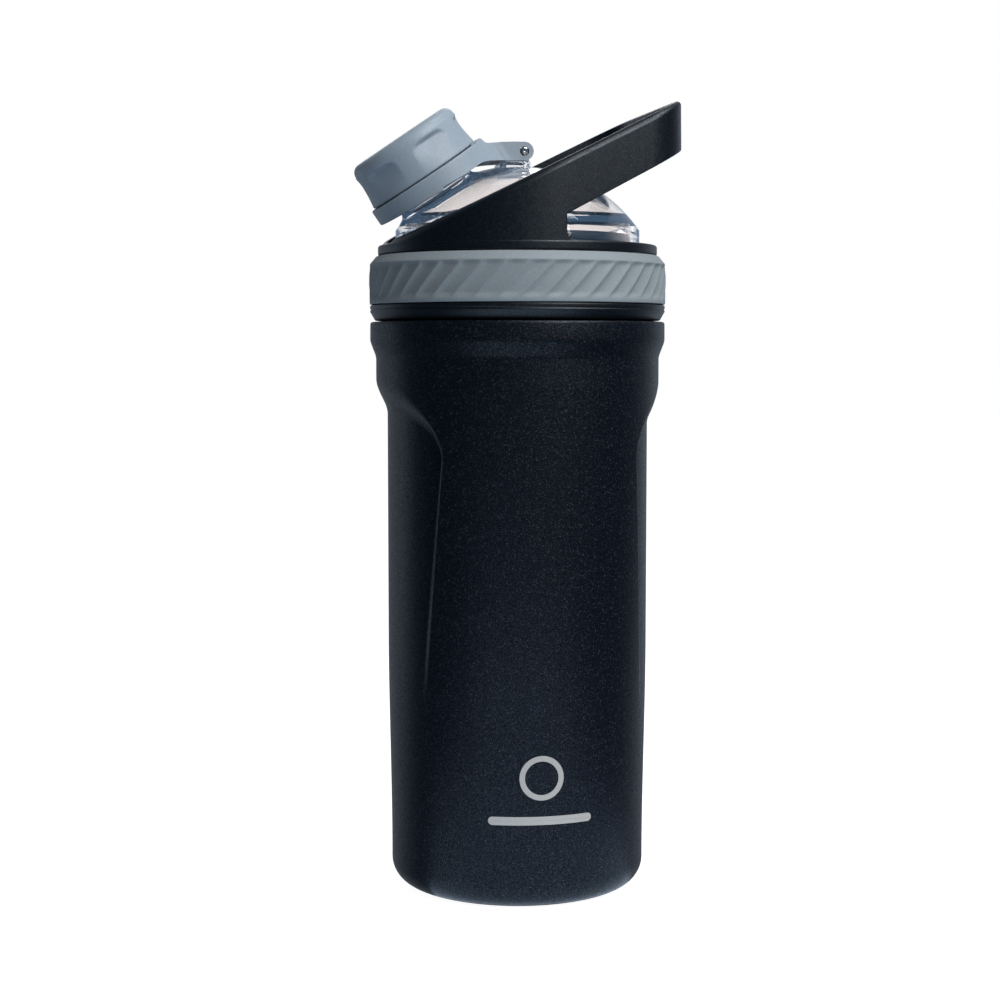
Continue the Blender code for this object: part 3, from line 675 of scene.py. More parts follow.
def recess_amount(angle, z):
    """1 in a grip recess and 0 on the front and back panels."""
    angle = (angle + 180) % 360 - 180
    side = "handle" if abs(angle) < 90 else "spout"
    psi = abs(angle) if side == "handle" else 180 - abs(angle)
    reach = pi / 180 * barrel_radius(z) * RECESS_ARC_SCALE
    if z < RECESS_ARCH_Z:
        edge = RECESS_HALF_ANGLE - RECESS_TAPER * (RECESS_ARCH_Z - z)
        inside = (edge - psi) * reach
        slope = RECESS_SIDE_SLOPE
    else:
        across = psi / RECESS_HALF_ANGLE
        rise = RECESS_ARCH_RISE[side]
        up = (z - RECESS_ARCH_Z) / rise
        size = hypot(across, up)
        lift = (up / size) ** 2 if size else 1.0
        inside = (1 - size) * (RECESS_HALF_ANGLE * reach * (1 - lift) + rise * lift)
        slope = RECESS_SIDE_SLOPE * (1 - lift) + RECESS_TOP_SLOPE[side] * lift
    return smooth_step(0.5 + inside / (2 * slope))


def thread_ridge(angle, z):
    pitch = THREAD_LEAD / THREAD_STARTS
    phase = ((z - THREAD_LEAD * angle / 360) / pitch) % 1.0
    distance = abs(phase - 0.5) * pitch
    crest = smooth_step((THREAD_HALF_WIDTH - distance) / THREAD_FLANK)
    ends = min(z - THREAD_FOOT, THREAD_HEAD - z) / THREAD_RUNOUT
    return crest * smooth_step(ends)


def body_angles():
    """Columns close together across the recess edges and wider elsewhere."""
    start, end = RECESS_EDGE_ANGLES
    quarter = spaced(0, start, 2.0)[:-1] + spaced(start, end, 0.5)[:-1] + spaced(end, 90, 2.0)
    half = quarter + [180 - a for a in reversed(quarter[:-1])]
    return half + [a + 180 for a in half[1:-1]]


def outer_shell():
    outside = [(NECK_INNER_R, NECK_TOP), (NECK_R, NECK_TOP)]
    outside += [(NECK_R, z) for z in spaced(THREAD_HEAD + 0.4, THREAD_FOOT - 0.4, 0.3)]
    shoulder = rounded([(NECK_R, THREAD_FOOT - 1.0), (NECK_R, SHOULDER_Z), (COLLAR_R - 0.05, SHOULDER_Z),
                        (COLLAR_R, COLLAR_LOW), (panel_radius(STEP_Z), STEP_Z),
                        (panel_radius(STEP_FOOT_Z), STEP_FOOT_Z)],
                       SHOULDER_ROUNDING, closed=False, steps=5)
    outside += shoulder[:-1]
    outside += [(panel_radius(z), z) for z in spaced(STEP_FOOT_Z, RECESS_ARCH_Z, 0.7)]
    outside += [(panel_radius(z), z) for z in spaced(RECESS_ARCH_Z - 1.5, BASE_CORNER + 1, 1.8)]
    outside += arc(BASE_R - BASE_CORNER, BASE_CORNER, BASE_CORNER, 0, -90, 12)
    plate_r = plate_high.x + 0.3
    inside = [(plate_r, 0), (plate_r, SHEET)]
    inside += arc(BASE_R - BASE_CORNER, BASE_CORNER, BASE_CORNER - SHEET, -90, 0, 5)
    inside += [(BASE_R - SHEET, STEP_Z - 12), (panel_radius(STEP_Z) - SHEET, STEP_Z - 2),
               (COLLAR_R - SHEET, COLLAR_LOW + 1), (COLLAR_R - SHEET - 0.3, SHOULDER_Z - SHEET),
               (NECK_INNER_R, SHOULDER_Z - SHEET)]

    def rule(angle, r, z):
        if abs(r - NECK_R) < 0.01 and z > SHOULDER_Z:
            return r + (MALE_CREST_R - NECK_R) * thread_ridge(angle, z)
        if z > STEP_Z or z < PANEL_FOOT_Z or abs(r - panel_radius(z)) > 0.2:
            return r
        return r - panel_proud(z) * recess_amount(angle, z)

    return make("bottle_shell", grid_turn(outside + inside, body_angles(), rule=rule))


def on_body(across, z, lift):
    """A point on the body's front, from its distance across the panel and its height."""
    r = panel_radius(z) + lift
    angle = radians(MARK_ANGLE) + across / panel_radius(z)
    return Vector((r * cos(angle), r * sin(angle), z)) * MM


def inlay(name, outline_outer, outline_inner):
    """A thin plate on the body between two outlines with the same number of points."""
    bm = bmesh.new()
    loops = []
    for outline, lift in ((outline_outer, MARK_LIFT), (outline_inner, MARK_LIFT),
                          (outline_inner, -MARK_LIFT), (outline_outer, -MARK_LIFT)):
        loops.append([bm.verts.new(on_body(x, z, lift)) for x, z in outline])
    for first, second in zip(loops, loops[1:] + loops[:1]):
        for i in range(len(first)):
            j = (i + 1) % len(first)
            bm.faces.new((first[i], first[j], second[j], second[i]))
    return make(name, bm)


def ring_outline(r, count=72):
    return [(r * cos(2 * pi * i / count), MARK_RING_Z + r * sin(2 * pi * i / count)) for i in range(count)]


def bar_outline(half, r, count=16):
    right = [(half + r * sin(pi * i / count), MARK_BAR_Z - r * cos(pi * i / count)) for i in range(count + 1)]
    top = [(x, MARK_BAR_Z + r) for x in spaced(half, -half, 1.0)[1:-1]]
    left = [(-x, 2 * MARK_BAR_Z - z) for x, z in right]
    bottom = [(x, MARK_BAR_Z - r) for x in spaced(-half, half, 1.0)[1:-1]]
    return right + top + left + bottom


# ---- Lid ----

def lid_collar():
    groove_low, groove_middle, groove_high = (BAND_LOW + h for h in BAND_GROOVE)
    profile = [(UPSTAND_BORE_R, UPSTAND_TOP), (UPSTAND_R, UPSTAND_TOP), (UPSTAND_R, GROOVE_HIGH),
               (GROOVE_R, GROOVE_HIGH), (GROOVE_R, GROOVE_LOW), (UPSTAND_R, GROOVE_LOW),
               (UPSTAND_R, PLATE_HIGH), (COLLAR_WALL_R, PLATE_HIGH), (COLLAR_WALL_R, BAND_HIGH),
               (BAND_R, BAND_HIGH), (BAND_R, groove_high), (BAND_R - BAND_GROOVE_DEPTH, groove_middle),
               (BAND_R, groove_low), (BAND_R, BAND_LOW), (BAND_FOOT_R, BAND_FOOT),
               (COLLAR_BORE_R, BAND_FOOT)]
    profile = rounded(profile + [(COLLAR_BORE_R, THREAD_FOOT - 0.6)], 0.35, closed=False)
    profile += [(COLLAR_BORE_R, z) for z in spaced(THREAD_FOOT - 0.3, THREAD_HEAD + 0.3, 0.35)]
    profile += [(COLLAR_BORE_R, PLATE_LOW), (UPSTAND_BORE_R, PLATE_LOW)]

    def rule(angle, r, z):
        if abs(r - COLLAR_BORE_R) > 0.01 or z > PLATE_LOW - 1:
            return r
        return r - (COLLAR_BORE_R - FEMALE_CREST_R) * thread_ridge(angle + FEMALE_PHASE, z)

    return make("screw_collar", turned(profile, 192, rule=rule))


def ring_radius(z):
    middle = (RING_LOW + RING_EDGE) / 2
    t = (z - middle) / (RING_EDGE - middle)
    return RING_R - RING_CROWN * t * t


def rib_cut(angle, z):
    """Depth of the flutes between sharp crests: each one falls quickly and comes back more slowly."""
    middle = (RIB_LOW + RIB_HIGH) / 2
    lean = degrees(tan(radians(RIB_LEAN)) * (z - middle) / RING_R)
    p = ((angle - RIB_PHASE - lean) * RIBS / 360) % 1.0
    from_crest = p / RIB_VALLEY if p < RIB_VALLEY else (1 - p) / (1 - RIB_VALLEY)
    fade = smooth_step((z - RIB_LOW) / RIB_FADE_LOW) * smooth_step((RIB_HIGH - z) / RIB_FADE_HIGH)
    return RIB_DEPTH * (1 - (1 - from_crest) ** 2) * fade


def grip_ring():
    heights = spaced(RING_EDGE - 0.35, RING_LOW + 0.35, 0.3)
    outer = rounded([(RING_BORE_R, RING_TOP), (RING_TOP_R, RING_TOP), (ring_radius(RING_EDGE), RING_EDGE),
                     (ring_radius(RING_EDGE - 1), RING_EDGE - 1)], 0.55, closed=False, steps=5)[:-1]
    lower = rounded([(ring_radius(RING_LOW + 1), RING_LOW + 1), (ring_radius(RING_LOW), RING_LOW),
                     (RING_BORE_R, RING_LOW)], 0.3, closed=False)[1:]
    profile = outer + [(ring_radius(z), z) for z in heights[3:-1]] + lower

    def rule(angle, r, z):
        return r - rib_cut(angle, z) if r > RING_TOP_R + 1 else r

    return make("grip_ring_ribbed", turned(profile, RIBS * RIB_COLUMNS, rule=rule), smooth_angle=60)


def rim_gasket():
    outer, low, high = gasket_high.x, gasket_low.z, gasket_high.z
    profile = rounded([(GASKET_BORE_R, high), (outer, high), (outer, low), (GASKET_BORE_R, low)], 0.35)
    return make("rim_gasket", turned(profile, 128))


# ---- Black frame and handle ----

ARM_NORMAL = 90 - ARM_ANGLE
ARC_LENGTH = FRAME_R * radians(180 - ARM_NORMAL)
ARM_START = Vector((cos(radians(ARM_NORMAL)), sin(radians(ARM_NORMAL)))) * FRAME_R
CORNER_CENTRE = Vector((ARM_CORNER_X, ARM_CORNER_Y))
ARM_FINISH = CORNER_CENTRE + Vector((cos(radians(ARM_NORMAL)), sin(radians(ARM_NORMAL)))) * ARM_CORNER_R
ARM_LENGTH = (ARM_FINISH - ARM_START).length
CORNER_LENGTH = ARM_CORNER_R * radians(ARM_NORMAL)
HALF_LENGTH = ARC_LENGTH + ARM_LENGTH + CORNER_LENGTH + ARM_CORNER_Y


def plan(s):
    """Point and outward normal of the frame wall's plan, s along it from the spout side."""
    if s < ARC_LENGTH:
        angle = pi - s / FRAME_R
        n = Vector((cos(angle), sin(angle)))
        return n * FRAME_R, n
    s -= ARC_LENGTH
    n = Vector((cos(radians(ARM_NORMAL)), sin(radians(ARM_NORMAL))))
    if s < ARM_LENGTH:
        return ARM_START.lerp(ARM_FINISH, s / ARM_LENGTH), n
    s -= ARM_LENGTH
    if s < CORNER_LENGTH:
        angle = radians(ARM_NORMAL) - s / ARM_CORNER_R
        n = Vector((cos(angle), sin(angle)))
        return CORNER_CENTRE + n * ARM_CORNER_R, n
    s -= CORNER_LENGTH
    return Vector((handle_high.x, ARM_CORNER_Y - s)), Vector((1, 0))


def length_at(x):
    """How far along the plan the wall reaches this x on its way to the handle's end."""
    return next(s for s in spaced(0, HALF_LENGTH, 0.02) if plan(s)[0].x >= x)


def handle_top(s):
    return HANDLE_TOP_Z + HANDLE_TOP_SLOPE * plan(s)[0].x


def handle_bottom(s):
    return HANDLE_LOW_Z + HANDLE_LOW_SLOPE * plan(s)[0].x


def rounded_rim(depth, below):
    """How deep a point of the wall lies once its top edge is rounded, `below` it."""
    if depth < 0.1 and below < RIM_R:
        return RIM_R - sqrt(RIM_R ** 2 - (RIM_R - below) ** 2)
    if depth > FRAME_WALL - 0.1 and below < RIM_INNER_R:
        return FRAME_WALL - RIM_INNER_R + sqrt(RIM_INNER_R ** 2 - (RIM_INNER_R - below) ** 2)
    return depth


def handle_wall():
    """The wall drawn flat as a plate (s along it, w down from its top edge), then bent to its plan."""
    window = length_at(WINDOW_X)
    mould_line = length_at(MOULD_LINE_X)
    outline = [(s, WALL_ROOT) for s in spaced(0, window + WINDOW_FILLET, 2.0)]
    outline += arc(window + WINDOW_FILLET, FRAME_HIGH + WINDOW_FILLET, WINDOW_FILLET, -90, -180, 10)
    outline += [(s, handle_bottom(s)) for s in spaced(window, HALF_LENGTH, 2.0)]
    flat = [(s, handle_top(s) - z) for s, z in outline]
    flat += [(s, 0) for s in spaced(HALF_LENGTH, 0, 2.0)]
    bm = bmesh.new()
    face = bm.faces.new([bm.verts.new((s, 0, w)) for s, w in flat])
    thicken(bm, face, FRAME_WALL)

    def is_soft(edge):
        a, b = (v.co for v in edge.verts)
        same_side = abs(a.y - b.y) < 1e-4
        at_seam = abs(a.x - b.x) < 1e-4 and (a.x < 1e-3 or a.x > HALF_LENGTH - 1e-3)
        at_top = max(a.z, b.z) < 1e-3
        at_root = max(handle_top(v.x) - v.z for v in (a, b)) < FRAME_HIGH - 0.05
        return same_side and not (at_seam or at_top or at_root)

    soft = [e for e in bm.edges if is_soft(e)]
    bmesh.ops.bevel(bm, geom=soft, offset=ARM_BEVEL, segments=4, profile=0.5, affect='EDGES',
                    clamp_overlap=False)
    lengthwise = spaced(0, HALF_LENGTH, 1.2)[1:-1] + [mould_line + 0.1 * k for k in (-2, -1, 0, 1, 2)]
    cuts = [(Vector((s, 0, 0)), Vector((1, 0, 0))) for s in lengthwise]
    cuts += [(Vector((0, 0, w)), Vector((0, 0, 1))) for w in RIM_CUTS]
    for spot, across in cuts:
        geometry = bm.verts[:] + bm.edges[:] + bm.faces[:]
        bmesh.ops.bisect_plane(bm, geom=geometry, dist=1e-5, plane_co=spot, plane_no=across)
    seams = [f for f in bm.faces if max(v.co.x for v in f.verts) < 1e-3
             or min(v.co.x for v in f.verts) > HALF_LENGTH - 1e-3]
    bmesh.ops.delete(bm, geom=seams, context='FACES')
    for vert in bm.verts:
        s, depth, below = vert.co
        point, normal = plan(min(max(s, 0), HALF_LENGTH))
        top = handle_top(s)
        z = top - below
        share = min(max((z - FRAME_HIGH) / max(top - FRAME_HIGH, 0.5), 0), 1)
        on_face = depth < 0.1
        line = MOULD_LINE_HEIGHT * exp(-((s - mould_line) / MOULD_LINE_WIDTH) ** 2) if on_face else 0.0
        depth = rounded_rim(depth, below)
        z -= HANDLE_TOP_SLOPE * depth * normal.x * share
        at_end = smooth_step((s - ARC_LENGTH - ARM_LENGTH) / CORNER_LENGTH)
        middle = (top + handle_bottom(s)) / 2
        hollow = END_HOLLOW * max(0.0, 1 - ((z - middle) / END_HOLLOW_HALF) ** 2) * at_end
        spot = point - normal * (depth + hollow - line)
        vert.co = Vector((spot.x, spot.y, z)) * MM
    other = bmesh.ops.duplicate(bm, geom=bm.verts[:] + bm.edges[:] + bm.faces[:])["geom"]
    for vert in verts_in(other):
        vert.co.y = -vert.co.y
    bmesh.ops.remove_doubles(bm, verts=bm.verts[:], dist=2e-6)
    return bm


def handle_frame():
    profile = rounded([(FRAME_OPENING_R, FRAME_HIGH), (FRAME_FLANGE_R, FRAME_HIGH),
                       (FRAME_FLANGE_R, FRAME_LOW), (SKIRT_R, FRAME_LOW)], 0.9, closed=False, steps=6)
    profile += [(SKIRT_R, SKIRT_LOW), (SKIRT_INNER_R, SKIRT_LOW), (SKIRT_INNER_R, FRAME_LOW - 0.5),
                (DOME_FLANGE_R + 0.3, FRAME_LOW), (DOME_FLANGE_R + 0.3, DOME_FLANGE_HIGH + 0.3),
                (FRAME_OPENING_R, DOME_FLANGE_HIGH + 0.3)]
    frame_ring = make("loop_handle", turned(profile, 200))
    combine(frame_ring, handle_wall(), 'UNION')
    shade(frame_ring.data, 38)
    even_normals(frame_ring)
    return frame_ring


# ---- Clear dome ----

def dome_profile(offset, foot, steps=40):
    r = DOME_SPHERE_R - offset
    wall = DOME_R - offset
    start = degrees(acos(wall / r))
    return [(wall, foot)] + arc(0, DOME_SPHERE_Z, r, start, 90, steps)


def spout_neck():
    """Neck with its bayonet lugs and a flared root that runs out into the dome."""
    heights = [LUG_HIGH + 0.25, LUG_HIGH, LUG_LOW, LUG_LOW - 0.25, FLARE_TOP]
    rim = rounded([(0, SPOUT_TOP), (SPOUT_R, SPOUT_TOP), (SPOUT_R, SPOUT_TOP - 1.5)], 0.7, closed=False)
    flare = arc(SPOUT_R + FLARE_R, FLARE_TOP, FLARE_R, 190, 250, 6)
    profile = rim + [(SPOUT_R, h) for h in heights] + flare
    profile += [(flare[-1][0] + 1.6, flare[-1][1] - 0.9), (SPOUT_R, SPOUT_ROOT), (0, SPOUT_ROOT)]

    def rule(angle, r, h):
        angle = (angle + 180) % 360 - 180
        from_hinge_line = min(abs(angle), 180 - abs(angle))
        if abs(r - SPOUT_R) > 0.01 or not LUG_LOW - 0.1 < h < LUG_HIGH + 0.1:
            return r
        return r + (LUG_CREST_R - SPOUT_R) * smooth_step((LUG_HALF_ANGLE + 2 - from_hinge_line) / 4)

    return turned(profile, 128, closed=False, rule=rule)


def hinge_tongue():
    outline = [(PIN.x - KNUCKLE_R - 0.6, BOSS_TOP - 3)]
    outline += arc(PIN.x, PIN.z, KNUCKLE_R - 0.2, 180, 0, 20)
    outline.append((PIN.x + KNUCKLE_R - 0.8, BOSS_TOP - 3))
    return extruded(outline, TONGUE_HALF_WIDTH)


def pin_hole(half_width):
    return extruded(arc(PIN.x, PIN.z, PIN_HOLE_R, 0, 352.5, 47), half_width)


def rounded_box(low, high, radius):
    bm = box(low, high)
    bmesh.ops.bevel(bm, geom=bm.edges[:], offset=radius * MM, segments=4, profile=0.5, affect='EDGES')
    return bm


def spout_dome():
    outside = rounded([(0, DOME_FLANGE_LOW), (DOME_FLANGE_R, DOME_FLANGE_LOW),
                       (DOME_FLANGE_R, DOME_FLANGE_HIGH), (DOME_R, DOME_FLANGE_HIGH)], 0.2, closed=False)[:-1]
    outside += dome_profile(0, DOME_FLANGE_HIGH)
    dome = make("clear_dome", turned(outside, 160, closed=False))
    combine(dome, spout_neck(), 'UNION', CAP_FRAME)
    boss = rounded_box((BOSS_X[0], -ARM_HALF_WIDTH, BOSS_TOP - 6), (BOSS_X[1], ARM_HALF_WIDTH, BOSS_TOP), 0.5)
    combine(dome, boss, 'UNION')
    combine(dome, hinge_tongue(), 'UNION')
    wall = DOME_R - DOME_WALL
    hollow = [(0, DOME_FLANGE_LOW - 2), (wall, DOME_FLANGE_LOW - 2)]
    hollow += [(wall - r, UPSTAND_TOP + z) for r, z in DOME_SHOULDER]
    hollow += [point for point in dome_profile(DOME_WALL, 0)[1:] if point[0] < hollow[-1][0]]
    combine(dome, turned(hollow, 160, closed=False), 'DIFFERENCE')
    combine(dome, disc(SPOUT_BORE_R, SPOUT_ROOT - 6, SPOUT_TOP + 2, 128), 'DIFFERENCE', CAP_FRAME)
    combine(dome, pin_hole(TONGUE_HALF_WIDTH + 1), 'DIFFERENCE')
    shade(dome.data, 30)
    dome.visible_shadow = False
    return dome


# ---- Flip cap ----

def from_pin(curve):
    return [(PIN.x + x, PIN.z + z) for x, z in curve]


def tether_arm():
    """Side outline of the arm, from the band to the hinge knuckle."""
    outline = [(ARM_ROOT_X, PIN.z - 14.0)] + from_pin(ARM_UNDERSIDE)
    outline += arc(PIN.x, PIN.z, KNUCKLE_R, -90, 90, 20)
    outline += from_pin(ARM_TOP) + [(ARM_ROOT_X, PIN.z - 3.0)]
    return extruded(outline, TETHER_R)


def underside_cut():
    """What lies below the arm's underside, so the band's foot blends into the arm."""
    curve = from_pin(ARM_UNDERSIDE)
    foot_x, foot_z = curve[0]
    far_x = foot_x - UNDERCUT_REACH
    outline = [(far_x, foot_z - UNDERCUT_REACH * UNDERCUT_SLOPE)] + curve
    outline += [(PIN.x - KNUCKLE_R, PIN.z - KNUCKLE_R - 0.05), (PIN.x - KNUCKLE_R, PIN.z - TETHER_R)]
    outline.append((far_x, PIN.z - TETHER_R))
    return extruded(outline, 2 * TETHER_R)


def arm_plan():
    """The arm seen along the spout: straight sides with a fillet each that meets the round band."""
    centre_y = ARM_HALF_WIDTH + ARM_FILLET_R
    centre_x = TETHER_OFFSET + sqrt((BLEND_R + ARM_FILLET_R) ** 2 - centre_y ** 2)
    meeting = degrees(atan2(centre_y, centre_x - TETHER_OFFSET))
    side = arc(centre_x, centre_y, ARM_FILLET_R, 180 + meeting, 270, 12)
    side = [(TETHER_BORE_R / 2, side[0][1])] + side + [(2 * TETHER_R, ARM_HALF_WIDTH)]
    outline = side + [(x, -y) for x, y in reversed(side)]
    bm = extruded(outline, 2 * TETHER_R)
    bmesh.ops.rotate(bm, verts=bm.verts[:], matrix=Matrix.Rotation(radians(90), 3, 'X'))
    return bm


def tether_band():
    inner = TETHER_R - TETHER_WIDTH
    profile = rounded([(inner, TETHER_TOP), (TETHER_R, TETHER_TOP), (TETHER_R - 0.05, -TETHER_THICK),
                       (inner, -TETHER_THICK)], 0.6)
    bm = turned(profile, 160)
    for vert in bm.verts:
        across = vert.co.x / MM
        down = smooth_step((-vert.co.z / MM - 1.0) / 3.0)
        vert.co.z -= TETHER_WEDGE * MM * across / TETHER_R * down
        if hypot(vert.co.x, vert.co.y) > (TETHER_R - 3) * MM:
            vert.co.x += TETHER_OFFSET * MM
    return bm


def disc(r, low, high, sides=160):
    return turned([(0, low), (r, low), (r, high), (0, high)], sides, closed=False)


def cap_tether():
    tether = make("cap_strap", tether_arm())
    combine(tether, arm_plan(), 'INTERSECT', CAP_FRAME)
    combine(tether, disc(KNOB_R + 0.4, -1.5, TETHER_R), 'DIFFERENCE', CAP_FRAME)
    combine(tether, tether_band(), 'UNION', CAP_FRAME)
    combine(tether, disc(TETHER_BORE_R, -TETHER_R, 4), 'DIFFERENCE', CAP_FRAME)
    combine(tether, disc(TETHER_COUNTERBORE_R, -TETHER_R, TETHER_LEDGE), 'DIFFERENCE', CAP_FRAME)
    combine(tether, underside_cut(), 'DIFFERENCE')
    slot_width = TONGUE_HALF_WIDTH + 0.3
    slot = box((PIN.x - KNUCKLE_R - 1.6, -slot_width, PIN.z - 9), (PIN.x + 9, slot_width, PIN.z + 9))
    combine(tether, slot, 'DIFFERENCE')
    combine(tether, pin_hole(ARM_HALF_WIDTH + 1), 'DIFFERENCE')
    soften(tether, 0.4)
    return tether


def scallop(angle, h):
    """Finger scoop: deepest under an arched ledge, running out towards the knob's base."""
    period = 360 / SCALLOPS
    offset = (angle - SCALLOP_PHASE + period / 2) % period - period / 2
    across = offset / SCALLOP_HALF_ANGLE
    top = SCALLOP_TOP - SCALLOP_ARCH * across ** 6
    ledge = smooth_step((top - h) / SCALLOP_LEDGE)
    return SCALLOP_DEPTH * max(0.0, 1 - across ** 2) ** 1.15 * ledge * max(h, 0) / SCALLOP_TOP


def cap_knob():
    edge = KNOB_TOP_R - KNOB_FLAT_R
    profile = [(0, KNOB_HEIGHT), (KNOB_FLAT_R * 0.5, KNOB_HEIGHT), (KNOB_FLAT_R - 0.6, KNOB_HEIGHT)]
    profile += arc(KNOB_FLAT_R, KNOB_HEIGHT - edge, edge, 88, 2, 14)
    for h in spaced(KNOB_HEIGHT - edge - 0.2, 0.7, 0.3):
        profile.append((KNOB_R + (KNOB_TOP_R - KNOB_R) * h / KNOB_HEIGHT, h))
    profile += [(KNOB_R - 0.05, 0.4), (KNOB_R - 0.3, 0.15), (KNOB_BORE_R, 0.15)]
    profile += [(KNOB_BORE_R, KNOB_CEILING), (0, KNOB_CEILING)]

    def rule(angle, r, h):
        return r - scallop(angle, h) if r > KNOB_BORE_R + 0.2 else r

    return make("cap_knob_scalloped", turned(profile, 240, closed=False, rule=rule), CAP_FRAME, 50)


def cap_insert():
    flange_r = TETHER_COUNTERBORE_R - 0.4
    shank_r = TETHER_BORE_R - 0.3
    foot = TETHER_LEDGE - 0.3
    profile = [(0, INSERT_TOP), (INSERT_R, INSERT_TOP), (INSERT_R, -0.15), (shank_r, -0.15), (shank_r, foot),
               (flange_r, foot), (flange_r, foot - 1.3), (16.9, foot - 1.3)]
    profile = rounded(profile, 0.25, closed=False)
    profile += [(16.1, -1.8), (16.0, -1.5), (15.3, 0.5), (15.25, 0.7), (INSERT_BORE_R, INSERT_TOP - 1.5),
                (0, INSERT_TOP - 1.5)]

    def rule(angle, r, h):
        angle = (angle + 180) % 360 - 180
        from_side = abs(abs(angle) - 90)
        if not (LATCH_LOW < h < LATCH_HIGH and INSERT_BORE_R - 0.2 < r < INSERT_R - 0.15):
            return r
        return r + (LATCH_CREST_R - r) * smooth_step((LATCH_HALF_ANGLE - from_side) / 4)

    return make("cap_sleeve", turned(profile, 128, closed=False, rule=rule), CAP_FRAME)


def cap_gasket():
    top = INSERT_TOP - 1.8
    low = SPOUT_TOP + 0.3
    outer = INSERT_BORE_R - 0.4
    profile = rounded([(0, top), (outer, top), (outer, low), (9.0, low), (8.4, low + 0.5), (0, low + 0.5)],
                      0.3, closed=False)
    return make("spout_gasket", turned(profile, 96, closed=False), CAP_FRAME)


def hinge_pin():
    """Pin with crowned, dimpled ends."""
    end = pin_high.y
    profile = [(0, end - 0.25), (PIN_R * 0.25, end - 0.2), (PIN_R * 0.4, end - 0.02), (PIN_R * 0.7, end),
               (PIN_R * 0.95, end - 0.18), (PIN_R, end - 0.45)]
    profile += [(r, -z) for r, z in reversed(profile)]
    along_y = Matrix.Translation(PIN * MM) @ Matrix.Rotation(radians(90), 4, 'X')
    return make("steel_pin", turned(profile, 64, closed=False), along_y)


# ---- Inside ----

def inner_liner():
    floor = liner_low.z
    inside = floor + LINER_WALL
    corner = inside + LINER_CORNER
    wall = LINER_R + LINER_WALL
    rim = liner_high.x
    top = liner_high.z
    profile = [(0, floor)]
    profile += arc(LINER_R - LINER_CORNER, corner, LINER_CORNER + LINER_WALL, -90, 0, 12)
    profile += [(wall, NECK_TOP + 0.3)]
    profile += rounded([(rim - 0.6, NECK_TOP + 0.3), (rim, NECK_TOP + 0.3), (rim, top), (LINER_R, top),
                        (LINER_R, top - 2)], 0.35, closed=False)
    profile += arc(LINER_R - LINER_CORNER, corner, LINER_CORNER, 0, -90, 12)
    profile.append((0, inside))
    return make("steel_liner", turned(profile, 160, closed=False))


def base_plate():
    r = plate_high.x
    top = plate_high.z
    groove = [(r - 3.0, 0), (r - 2.6, 0.12), (r - 2.2, 0)]
    profile = [(0, 0)] + groove + [(r - 0.2, 0), (r, 0.2), (r, top), (0, top)]
    return make("welded_base", turned(profile, 128, closed=False))


def dome_seal():
    section = (GROOVE_HIGH - GROOVE_LOW) / 2 - 0.25
    profile = arc((GROOVE_R + DOME_R - DOME_WALL) / 2, (GROOVE_LOW + GROOVE_HIGH) / 2, section, 0, 330, 11)
    return make("dome_o_ring", turned(profile, 128))


def mixing_ball():
    """One steel wire wound pole to pole, starting and ending a little short of the poles."""
    radius = ball_high.x - BALL_WIRE_R
    centre_z = (ball_low.z + ball_high.z) / 2
    curve = bpy.data.curves.new("wire_ball", 'CURVE')
    curve.dimensions = '3D'
    curve.bevel_depth = BALL_WIRE_R * MM
    curve.bevel_resolution = 4
    curve.use_fill_caps = True
    spline = curve.splines.new('POLY')
    steps = BALL_TURNS * 60
    spline.points.add(steps)
    for i in range(steps + 1):
        t = i / steps
        polar = radians(BALL_POLE_ANGLE + (180 - 2 * BALL_POLE_ANGLE) * t)
        turn = 2 * pi * BALL_TURNS * t
        r = radius * sin(polar)
        spot = (r * cos(turn), r * sin(turn), centre_z - radius * cos(polar))
        spline.points[i].co = (*(v * MM for v in spot), 1)
    return add_object("wire_ball", curve)


# ---- Studio ----

FLOOR_SIZE = 4.0
BLUISH = (0.66, 0.82, 1.0)
SKY_SEEN = (1.0, 1.0, 1.0)
SKY_DIFFUSE = (0.180, 0.190, 0.205)
SKY_FRONT = (0.035, 0.070, 0.120)
SKY_BEHIND = (0.33, 0.37, 0.44)


def studio_floor():
    bm = bmesh.new()
    bmesh.ops.create_grid(bm, x_segments=1, y_segments=1, size=FLOOR_SIZE)
    floor = make("floor", bm)
    floor.location.z = -0.0002
    floor.visible_glossy = False
    floor.visible_diffuse = False
    s = Shader("floor_paint", (0.40, 0.40, 0.40), 0.9, specular=0.0)
    s.set("Emission Color", (1, 1, 1, 1))
    s.set("Emission Strength", 0.96)
    floor.data.materials.append(s.material)


def softbox(name, location, target, size_x, size_y, power, colour=(1, 1, 1)):
    light = bpy.data.lights.new(name, 'AREA')
    light.shape = 'RECTANGLE'
    light.size = size_x
    light.size_y = size_y
    light.energy = power
    light.color = colour
    obj = add_object(name, light)
    obj.visible_camera = False
    obj.location = location
    obj.rotation_euler = (Vector(target) - Vector(location)).to_track_quat('-Z', 'Y').to_euler()


